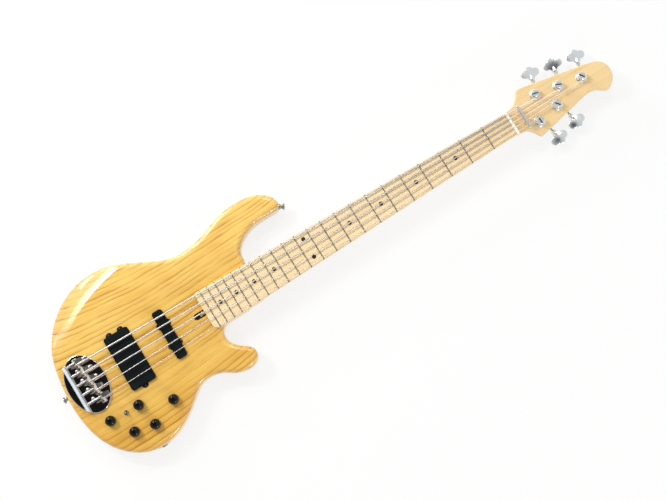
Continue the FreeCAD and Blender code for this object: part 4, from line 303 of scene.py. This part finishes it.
def ash_wood(add, place, x, y, z):
    """Colour of the ash with its rings and pores, the pore noise and the marks of the pores."""
    across = across_grain(add, place, x, y, z)
    ring, number = growth_rings(add, across, per_metre=84.0, unevenness=3.3)
    wide_rings = ring_marks(add, ring, number, wide_ring_stops, wide_ring_chances)
    fine_ring, fine_number = growth_rings(add, across, per_metre=230.0, unevenness=3.0)
    fine_rings = ring_marks(add, fine_ring, fine_number, fine_ring_stops, fine_ring_chances)
    patches = make_ramp(add, stretched_noise(add, place, (15.0, 70.0, 70.0)), patch_stops)
    treble_side = add("MapRange", {"Value": y, **patches_end}).outputs["Result"]
    patches = mix_colours(add, treble_side, patches, no_tint)
    pores = stretched_noise(add, place, (30.0, 640.0, 640.0), detail=2.0, roughness=0.6)
    pore_marks = make_ramp(add, pores, pore_stops)
    pore_marks = tinted(add, pore_marks, make_ramp(add, ring, early_wood_stops))
    tone = stretched_noise(add, place, (3.0, 16.0, 16.0), detail=2.0)
    side = sum_of(add, y, paler_to_bass_side, paler_at_middle)
    tone = add("Math", {0: tone, 1: side}, operation="ADD").outputs[0]
    wood = make_ramp(add, tone, honey_stops)
    wood = mix_colours(add, tinted(add, wide_rings, patches), wood, wide_ring_brown)
    fine_share = product(add, tinted(add, fine_rings, patches), fine_ring_share)
    wood = mix_colours(add, fine_share, wood, fine_ring_brown)
    wood = mix_colours(add, product(add, pore_marks, pore_share), wood, pore_brown)
    mottle = stretched_noise(add, place, (9.0, 24.0, 24.0))
    wood = tinted(add, wood, make_ramp(add, mottle, stain_stops))
    return wood, pores, pore_marks


face_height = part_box("body")[1].z
heel_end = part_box("neck")[0].x
slot_length = 0.0235
slot_under_board = 0.007
slot_half_width = 0.0064
slot_floor = 0.020
slot_lip = 0.0006
# Painted shade for the walls of the truss-rod slot, near black.
slot_painted_shade = (0.020, 0.014, 0.010)


def inside_slot(add, x, y, z):
    """1 on the walls of the truss-rod slot, where shade is painted, else 0."""
    along = within(add, x, heel_end - slot_length, heel_end + slot_under_board)
    aside = within(add, y, -slot_half_width, slot_half_width)
    below = within(add, z, slot_floor, face_height - slot_lip)
    return product(add, product(add, along, aside), below)


bevel_centre = (0.187, -0.165)
bevel_radius = 0.318
bevel_end_x = 0.16
past_tail_x = -1.0
# Painted shade: the wood on the forearm bevel, which faces the key lamp, is darkened.
bevel_painted_shade = (0.95, 0.885, 0.84)
bevel_shade_reach = 0.010
bevel_crown = -6.0
bevel_start_slope = 0.075
bevel_tail_slope = 0.265
bevel_fade_y = (0.070, 0.135)
sanding_depth = 0.00010


def out_on_bevel(add, x, y):
    """Distance of a point beyond the inner edge of the forearm bevel, 0 elsewhere."""
    out_x = add("Math", {0: x, 1: bevel_centre[0]}, operation="SUBTRACT").outputs[0]
    out_y = add("Math", {0: y, 1: bevel_centre[1]}, operation="SUBTRACT").outputs[0]
    outward = add("CombineXYZ", {"X": out_x, "Y": out_y}).outputs["Vector"]
    reach = add("VectorMath", {0: outward}, operation="LENGTH").outputs["Value"]
    beyond = add("Math", {0: reach, 1: bevel_radius}, operation="SUBTRACT").outputs[0]
    beyond = add("Math", {0: beyond, 1: 0.0}, operation="MAXIMUM").outputs[0]
    return product(add, beyond, within(add, x, past_tail_x, bevel_end_x))


def bevel_relief(add, place, y, beyond):
    """Light crown of the bevel, which flattens out towards the tail, with traces of sanding."""
    carved = add("MapRange", {"Value": y, "From Min": bevel_fade_y[0], "From Max": bevel_fade_y[1]},
                 interpolation_type="SMOOTHSTEP").outputs["Result"]
    slope = sum_of(add, beyond, bevel_crown, bevel_start_slope)
    slope = add("Mix", {0: carved, 2: bevel_tail_slope, 3: slope}, data_type="FLOAT").outputs[0]
    streak = stretched_noise(add, place, (9.0, 150.0, 150.0), detail=2.0, roughness=0.5)
    return sum_of(add, streak, sanding_depth, product(add, slope, beyond))


def ash_lacquer():
    """Straight ash with thin uneven rings, drawn-out pores and a clear gloss coat."""
    material, shader, add, join = new_finish("ash_lacquer")
    place = add("TexCoord").outputs["Object"]
    axes = add("SeparateXYZ", {"Vector": place}).outputs
    x, y, z = axes["X"], axes["Y"], axes["Z"]
    wood, pores, pore_marks = ash_wood(add, place, x, y, z)
    # Painted shade: the walls of the truss-rod slot are darkened.
    wood = mix_colours(add, inside_slot(add, x, y, z), wood, slot_painted_shade)
    beyond = out_on_bevel(add, x, y)
    on_bevel = add("MapRange", {"Value": beyond, "From Max": bevel_shade_reach}).outputs["Result"]
    # Painted shade darkens the wood on the bevel.
    wood = mix_colours(add, on_bevel, wood, tinted(add, wood, bevel_painted_shade))
    join(wood, shader.inputs["Base Color"])
    join(make_ramp(add, pores, [(0.3, 0.30), (0.8, 0.44)]), shader.inputs["Roughness"])
    shader.inputs["Coat Weight"].default_value = 1.0
    shader.inputs["Coat Roughness"].default_value = 0.11
    shader.inputs["Coat IOR"].default_value = 1.50
    relief = bevel_relief(add, place, y, beyond)
    shaped = add("Bump", {"Height": relief, "Strength": 1.0, "Distance": 1.0}).outputs["Normal"]
    join(shaped, shader.inputs["Coat Normal"])
    pitted = add("Bump", {"Height": pore_marks, "Strength": 0.05, "Distance": 0.0004, "Normal": shaped})
    join(pitted.outputs["Normal"], shader.inputs["Normal"])
    return material


dress("body", ash_lacquer())

# Neck: one piece of hard maple with heel, shaft and headstock, quarter sawn and pale,
# bolted into the pocket of the body and finished with thin satin lacquer.

line_share = 0.20
line_darker = 0.72
fleck_share = 0.12
fleck_darker = 0.66


def maple_satin(name, pale, dark, coat):
    """Close maple with faint long streaks, small flecks and a thin coat."""
    material, shader, add, join = new_finish(name)
    place = add("TexCoord").outputs["Object"]
    streaks = stretched_noise(add, place, (3.0, 120.0, 120.0), detail=4.0, roughness=0.6)
    lines = stretched_noise(add, place, (5.0, 420.0, 420.0), detail=2.0, roughness=0.5)
    flecks = stretched_noise(add, place, (60.0, 900.0, 900.0), detail=1.0, roughness=0.5)
    wood = make_ramp(add, streaks, [(0.28, dark), (0.72, pale)])
    line_marks = product(add, make_ramp(add, lines, [(0.52, 0.0), (0.74, 1.0)]), line_share)
    wood = mix_colours(add, line_marks, wood, tuple(c * line_darker for c in dark))
    fleck_marks = product(add, make_ramp(add, flecks, [(0.60, 0.0), (0.75, 1.0)]), fleck_share)
    wood = mix_colours(add, fleck_marks, wood, tuple(c * fleck_darker for c in dark))
    join(wood, shader.inputs["Base Color"])
    join(make_ramp(add, streaks, [(0.2, 0.36), (0.8, 0.46)]), shader.inputs["Roughness"])
    shader.inputs["Coat Weight"].default_value = coat
    shader.inputs["Coat Roughness"].default_value = 0.22
    bump = add("Bump", {"Height": lines, "Strength": 0.04, "Distance": 0.0003})
    join(bump.outputs["Normal"], shader.inputs["Normal"])
    return material


neck_maple = maple_satin("neck_maple", pale=(0.890, 0.655, 0.335), dark=(0.815, 0.578, 0.275), coat=0.4)
dress("neck", neck_maple)

# Fingerboard: a separate cap of paler maple glued on the neck, radiused across,
# sealed with lacquer before the frets went in.

board_maple = maple_satin("board_maple", pale=(0.980, 0.775, 0.475), dark=(0.875, 0.642, 0.352), coat=0.3)
dress("fingerboard", board_maple)

# Frets: nickel silver wire pressed into sawn slots, levelled and crowned by hand,
# polished bright on top and duller on the flanks.

no_stretch = (1.0, 1.0, 1.0)
smear_darker = 0.94
least_roughness = 0.02


def worn_metal(name, colour, roughness, spread, scale, painted_shade_reach=0.0):
    """Metal whose roughness and tint vary a little, with painted shade that darkens its crevices out to a
    given depth.
    """
    material, shader, add, join = new_finish(name)
    place = add("TexCoord").outputs["Object"]
    smear = stretched_noise(add, place, no_stretch, scale)
    bright = max(roughness - spread, least_roughness)
    join(make_ramp(add, smear, [(0.25, bright), (0.75, roughness + spread)]), shader.inputs["Roughness"])
    tint = make_ramp(add, smear, [(0.2, tuple(c * smear_darker for c in colour)), (0.8, colour)])
    # Painted shade: ambient occlusion darkens the metal in its crevices and gaps.
    if painted_shade_reach:
        open_air = add("AmbientOcclusion", {"Distance": painted_shade_reach}, samples=8, only_local=False).outputs["AO"]
        tint = tinted(add, tint, make_ramp(add, open_air, [(0.30, 0.03), (0.62, 1.0)]))
    join(tint, shader.inputs["Base Color"])
    shader.inputs["Metallic"].default_value = 1.0
    return material


dress("frets", worn_metal("fret_wire", (0.42, 0.40, 0.32), roughness=0.30, spread=0.06, scale=300.0))

# Dots: black discs let into the board between the frets and levelled with it,
# with small matching dots along the bass edge for the player's eye.

haze_scale = 0.04
haze_paler = 1.35
haze_lift = 0.001
roughness_swing = 0.12


def moulded_plastic(name, colour, roughness, grain_scale, grain_depth, shine=0.5):
    """Plastic with a fine moulded grain, mostly dark."""
    material, shader, add, join = new_finish(name)
    place = add("TexCoord").outputs["Object"]
    grain = stretched_noise(add, place, no_stretch, grain_scale, roughness=0.6)
    haze = stretched_noise(add, place, no_stretch, grain_scale * haze_scale, detail=2.0)
    hazy = tuple(c * haze_paler + haze_lift for c in colour)
    join(make_ramp(add, haze, [(0.3, colour), (0.7, hazy)]), shader.inputs["Base Color"])
    smooth = roughness * (1 - roughness_swing)
    rough = roughness * (1 + roughness_swing)
    join(make_ramp(add, grain, [(0.3, smooth), (0.7, rough)]), shader.inputs["Roughness"])
    shader.inputs["Specular IOR Level"].default_value = shine
    bump = add("Bump", {"Height": grain, "Strength": 0.12, "Distance": grain_depth})
    join(bump.outputs["Normal"], shader.inputs["Normal"])
    return material


def skin_rings(shell, rings):
    """Faces between rings of points, one after the other, and a cap at each end."""
    for near, far in zip(rings, rings[1:]):
        for step in range(len(near)):
            shell.faces.new((near[step - 1], near[step], far[step], far[step - 1]))
    shell.faces.new(rings[0])
    shell.faces.new(rings[-1][::-1])


def link_shell(name, shell, material):
    """Object of a finished shell, linked to the scene."""
    bmesh.ops.recalc_face_normals(shell, faces=shell.faces)
    mesh = bpy.data.meshes.new(name)
    shell.to_mesh(mesh)
    shell.free()
    mesh.materials.append(material)
    made = bpy.data.objects.new(name, mesh)
    scene.collection.objects.link(made)
    return made


inlay_black = moulded_plastic("inlay_black", (0.012, 0.011, 0.010), roughness=0.32, grain_scale=900.0,
                              grain_depth=0.0002)
dress("fret_markers", inlay_black)

marker_frets = (3, 5, 7, 9, 12, 15, 17, 19, 21)
frets_per_octave = 12
side_dot_radius = 0.0010
side_dot_rise = 0.0019
side_dot_profile = ((-0.0008, side_dot_radius), (0.0, side_dot_radius), (0.00008, side_dot_radius * 0.8))
side_dot_sides = 16
scale_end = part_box("nut")[0].x
nut_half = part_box("nut")[1].y
board_low, board_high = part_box("fingerboard")
dot_z = board_low.z + side_dot_rise
side_dots = bmesh.new()
for fret in marker_frets:
    fret_before_x = scale_end * 2 ** (-(fret - 1) / frets_per_octave)
    fret_x = scale_end * 2 ** (-fret / frets_per_octave)
    between = (fret_before_x + fret_x) / 2
    share = (between - board_low.x) / (scale_end - board_low.x)
    edge_y = board_high.y + (nut_half - board_high.y) * share
    rings = []
    for depth, radius in side_dot_profile:
        ring = []
        for step in range(side_dot_sides):
            angle = math.tau * step / side_dot_sides
            point = (between + radius * math.cos(angle), edge_y + depth, dot_z + radius * math.sin(angle))
            ring.append(side_dots.verts.new(point))
        rings.append(ring)
    skin_rings(side_dots, rings)
side_dot_object = link_shell("side_dots", side_dots, inlay_black)
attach(side_dot_object, "instrument")

# Nut: a slip of bleached bone, slotted for the strings
# and glued in place at the end of the board.


def bone_white():
    """Bone with faint darker pores along its length."""
    material, shader, add, join = new_finish("bone_white")
    place = add("TexCoord").outputs["Object"]
    pores = stretched_noise(add, place, (900.0, 90.0, 900.0), detail=2.0)
    tone = make_ramp(add, pores, [(0.3, (0.95, 0.94, 0.90)), (0.75, (0.88, 0.85, 0.77))])
    join(tone, shader.inputs["Base Color"])
    join(make_ramp(add, pores, [(0.3, 0.28), (0.8, 0.42)]), shader.inputs["Roughness"])
    shader.inputs["Subsurface Weight"].default_value = 0.08
    shader.inputs["Subsurface Radius"].default_value = (0.002, 0.0012, 0.0008)
    return material


dress("nut", bone_white())

# Truss rod and its wheel: a steel rod in the neck, and a drilled brass wheel
# in the slot at the end of the board that tightens it.

plain_steel = worn_metal("plain_steel", (0.56, 0.55, 0.54), roughness=0.34, spread=0.08, scale=260.0)
wheel_brass = worn_metal("wheel_brass", (0.72, 0.53, 0.22), roughness=0.30, spread=0.08, scale=320.0)
dress("truss_rod", plain_steel)
dress("truss_rod_nut", wheel_brass)

# Neck bolts: four steel screws through the back of the body into the heel,
# each with its head in a chromed ferrule let into the wood.

chrome = worn_metal("hardware_chrome", (0.80, 0.82, 0.85), roughness=0.09, spread=0.04, scale=120.0)
dress("neck_bolts", plain_steel)
dress("neck_bolt_ferrules", chrome)

# Bridge plate: an oval chromed casting with an upright rear wall, polished on the flat
# and brushed on the crest; it sits on the lacquer, held by four countersunk screws.

brushed_from_crest = 0.0010
polished_from_crest = 0.0022


def bridge_plating():
    """Bright chrome on the flat of the casting, brushed along the crest of its rear wall, with painted
    reflection in its tints: warm brown on the flat, pale blue on the crest.
    """
    material, shader, add, join = new_finish("bridge_plating")
    place = add("TexCoord").outputs["Object"]
    height = add("SeparateXYZ", {"Vector": place}).outputs["Z"]
    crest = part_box("bridge_plate")[1].z
    crest_fade = {
        "Value": height,
        "From Min": crest - polished_from_crest,
        "From Max": crest - brushed_from_crest,
    }
    on_crest = add("MapRange", crest_fade).outputs["Result"]
    smear = stretched_noise(add, place, no_stretch, scale=90.0)
    brushed = stretched_noise(add, place, (900.0, 40.0, 900.0), detail=2.0)
    plain = make_ramp(add, smear, [(0.25, 0.035), (0.75, 0.075)])
    drawn = make_ramp(add, brushed, [(0.25, 0.46), (0.75, 0.62)])
    join(mix_colours(add, on_crest, plain, drawn), shader.inputs["Roughness"])
    # Painted reflection: the flat is tinted warm brown and the crest pale blue, for what each one mirrors.
    flat_reflection_tint = make_ramp(add, smear, [(0.2, (0.66, 0.61, 0.56)), (0.8, (0.72, 0.67, 0.62))])
    pale = make_ramp(add, brushed, [(0.2, (0.60, 0.70, 0.78)), (0.8, (0.74, 0.82, 0.88))])
    join(mix_colours(add, on_crest, flat_reflection_tint, pale), shader.inputs["Base Color"])
    shader.inputs["Metallic"].default_value = 1.0
    return material


dress("bridge_plate", bridge_plating())
dress("bridge_screws", plain_steel)

# Saddles: five nickel-plated blocks with a sloped crest, each on two height screws,
# drawn along the bridge by a long intonation screw through the rear wall.

string_letters = "beadg"
# The saddles get painted shade in the gaps between and under them.
saddle_nickel = worn_metal("saddle_nickel", (0.84, 0.775, 0.68), roughness=0.20, spread=0.06, scale=420.0,
                           painted_shade_reach=0.005)
for string in string_letters:
    dress("saddle_" + string, saddle_nickel)
    dress("intonation_screw_" + string, plain_steel)

# Intonation springs: steel wire coiled round each long screw between the rear wall and its saddle,
# which keeps the thread loaded and stretches as the saddle is drawn forward.

wall_front_x = -0.0255
coil_radius = 0.00238
wire_radius = 0.00034
coil_turns = 9
steps_per_turn = 18
coil_steps = coil_turns * steps_per_turn
wire_sides = 8


def coil_shell(first_x, last_x, axis_y, axis_z):
    """Round wire wound about an axis along the bridge, with smooth sides and flat ends."""
    shell = bmesh.new()
    rings = []
    for step in range(coil_steps + 1):
        share = step / coil_steps
        angle = math.tau * coil_turns * share
        centre_x = first_x + (last_x - first_x) * share
        ring = []
        for side in range(wire_sides):
            swing = math.tau * side / wire_sides
            out = coil_radius + wire_radius * math.cos(swing)
            wire_x = centre_x + wire_radius * math.sin(swing)
            point = (wire_x, axis_y + out * math.cos(angle), axis_z + out * math.sin(angle))
            ring.append(shell.verts.new(point))
        rings.append(ring)
    skin_rings(shell, rings)
    for face in shell.faces:
        face.smooth = len(face.verts) == 4
    return shell


for string in string_letters:
    screw_low, screw_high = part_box("intonation_screw_" + string)
    axis_y = (screw_low.y + screw_high.y) / 2
    axis_z = (screw_low.z + screw_high.z) / 2
    first_x = wall_front_x + wire_radius
    last_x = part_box("saddle_" + string)[0].x - wire_radius
    wound = coil_shell(first_x, last_x, axis_y, axis_z)
    spring = link_shell("intonation_spring_" + string, wound, plain_steel)
    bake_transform(spring)

# String ferrules: chromed cups pressed into the back of the body,
# where the ball end of each string stops.

dress("string_ferrules", chrome)

# Strings: steel cores with nickel wrap, from the back up through the body, over the saddles
# and the nut to three turns round each post; duller and paler past the nut, where none is played.

string_end_pale = (0.86, 0.80, 0.70)
string_end_rough = (0.62, 0.62, 0.62)


def wrapped_string():
    """Nickel wire with the close ribs of its wrap, dull and pale past the nut."""
    material, shader, add, join = new_finish("wrapped_string")
    place = add("TexCoord").outputs["Object"]
    ribs = add("TexWave", {"Vector": place, "Scale": 560.0, "Distortion": 0.6, "Detail": 1.0},
               wave_type="BANDS", bands_direction="X", wave_profile="SIN").outputs["Fac"]
    smear = stretched_noise(add, place, (30.0, 300.0, 300.0), detail=2.0)
    tint = make_ramp(add, smear, [(0.3, (0.44, 0.415, 0.40)), (0.7, (0.535, 0.51, 0.49))])
    along = add("SeparateXYZ", {"Vector": place}).outputs["X"]
    past_nut = add("Math", {0: along, 1: scale_end}, operation="GREATER_THAN").outputs[0]
    join(mix_colours(add, past_nut, tint, string_end_pale), shader.inputs["Base Color"])
    rough = make_ramp(add, ribs, [(0.0, 0.46), (1.0, 0.36)])
    join(mix_colours(add, past_nut, rough, string_end_rough), shader.inputs["Roughness"])
    shader.inputs["Metallic"].default_value = 1.0
    bump = add("Bump", {"Height": ribs, "Strength": 0.05, "Distance": 0.0002})
    join(bump.outputs["Normal"], shader.inputs["Normal"])
    return material


dress("strings", wrapped_string())

# Pickups: wound coils under moulded black covers, a wide one by the bridge and a slim one
# by the neck, screwed down into the body by small ears.

pickup_black = moulded_plastic("pickup_black", (0.0046, 0.0070, 0.0076), roughness=0.48, grain_scale=1400.0,
                               grain_depth=0.0002, shine=0.06)
coil_wrap = moulded_plastic("coil_wrap", (0.060, 0.028, 0.016), roughness=0.55, grain_scale=900.0,
                            grain_depth=0.0003)
blackened_steel = worn_metal("blackened_steel", (0.10, 0.10, 0.105), roughness=0.34, spread=0.08,
                             scale=500.0)
for cover in ("bridge_pickup_cover", "neck_pickup_cover"):
    dress(cover, pickup_black)
for winding in ("bridge_pickup_coils", "neck_pickup_coil"):
    dress(winding, coil_wrap)
dress("pickup_screws", blackened_steel)

# Controls: five potentiometers under the face, each nut hidden by a polished black knob,
# and a miniature chromed toggle with its ring nut.

knob_gloss = moulded_plastic("knob_gloss", (0.0012, 0.0010, 0.0010), roughness=0.05, grain_scale=700.0,
                             grain_depth=0.00001, shine=0.27)
for knob in ("volume", "blend", "treble", "middle", "bass"):
    dress(knob + "_knob", knob_gloss)
for piece in ("control_nuts", "switch_lever"):
    dress(piece, chrome)
for piece in ("potentiometers", "switch_case"):
    dress(piece, plain_steel)

# Electronics: a preamp board under the pots, green with solder mask,
# and a nine-volt battery in its dark sleeve on the cavity cover.

solder_mask = moulded_plastic("solder_mask", (0.012, 0.090, 0.035), roughness=0.35, grain_scale=600.0,
                              grain_depth=0.0001)
battery_sleeve = moulded_plastic("battery_sleeve", (0.030, 0.030, 0.034), roughness=0.30, grain_scale=400.0,
                                 grain_depth=0.0001)
dress("preamp_board", solder_mask)
dress("battery", battery_sleeve)

# Cavity cover: a flat plate of black plastic let into the back of the body,
# flush with the wood and held by five small screws.

cover_plastic = moulded_plastic("cover_plastic", (0.014, 0.014, 0.015), roughness=0.50, grain_scale=1600.0,
                                grain_depth=0.0003)
dress("control_cover", cover_plastic)
dress("control_cover_screws", plain_steel)

# Output jack and strap buttons: chromed turnings in the rim of the body,
# the jack on its plate in the treble side and the buttons screwed to tail and horn.

rim_chrome = worn_metal("rim_chrome", (0.42, 0.44, 0.42), roughness=0.14, spread=0.05, scale=140.0)
for piece in ("output_jack", "strap_buttons"):
    dress(piece, rim_chrome)
dress("strap_button_screws", plain_steel)

# String bar: a chromed bar behind the nut that holds the strings down, on two legs,
# each drawn to the face of the headstock by a screw.

dress("string_retainer", chrome)
dress("retainer_screws", plain_steel)

# Tuners: closed chromed housings screwed to the back of the headstock,
# with ringed bushings on the face, slotted posts and stamped cloverleaf keys.

blade_length = 0.022
dome_depth = {"b": 6.0, "e": 4.0, "a": 6.0, "d": 9.0, "g": 9.0}
dome_shift = {"b": 0.0, "e": 0.0, "a": 0.0, "d": 0.009, "g": 0.009}
tuner_chrome = worn_metal("tuner_chrome", (0.87, 0.91, 0.92), roughness=0.20, spread=0.05, scale=160.0)
# The posts get painted shade in their slots and hollows.
post_chrome = worn_metal("post_chrome", (0.80, 0.83, 0.84), roughness=0.22, spread=0.05, scale=160.0,
                         painted_shade_reach=0.004)


def blade_middle(string):
    """Middle of the box round the blade of a key, the end furthest from its post."""
    post_low, post_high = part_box("tuner_post_" + string)
    post_middle = (post_low + post_high) / 2
    points = [vertex.co for vertex in nodes["tuner_key_" + string].data.vertices]
    tip = max(points, key=lambda point: (point - post_middle).length)
    blade = [point for point in points if (point - tip).length < blade_length]
    blade_low = Vector(min(point[axis] for point in blade) for axis in range(3))
    blade_high = Vector(max(point[axis] for point in blade) for axis in range(3))
    return (blade_low + blade_high) / 2


def key_chrome(string):
    """Chrome of a key whose blade is slightly domed about its middle or a place beside it."""
    crown = blade_middle(string)
    crown.x += dome_shift[string]
    material = tuner_chrome.copy()
    material.name = "key_chrome_" + string
    tree = material.node_tree
    add = new_nodes(tree)
    place = add("TexCoord").outputs["Object"]
    away = add("VectorMath", {0: place, 1: crown}, operation="DISTANCE").outputs["Value"]
    dome = product(add, product(add, away, away), -dome_depth[string])
    bump = add("Bump", {"Height": dome, "Strength": 1.0, "Distance": 1.0})
    tree.links.new(bump.outputs["Normal"], tree.nodes["Principled BSDF"].inputs["Normal"])
    return material


for piece in ("tuner_housings", "tuner_bushings"):
    dress(piece, tuner_chrome)
dress("tuner_screws", plain_steel)
for string in string_letters:
    dress("tuner_post_" + string, post_chrome)
    dress("tuner_key_" + string, key_chrome(string))
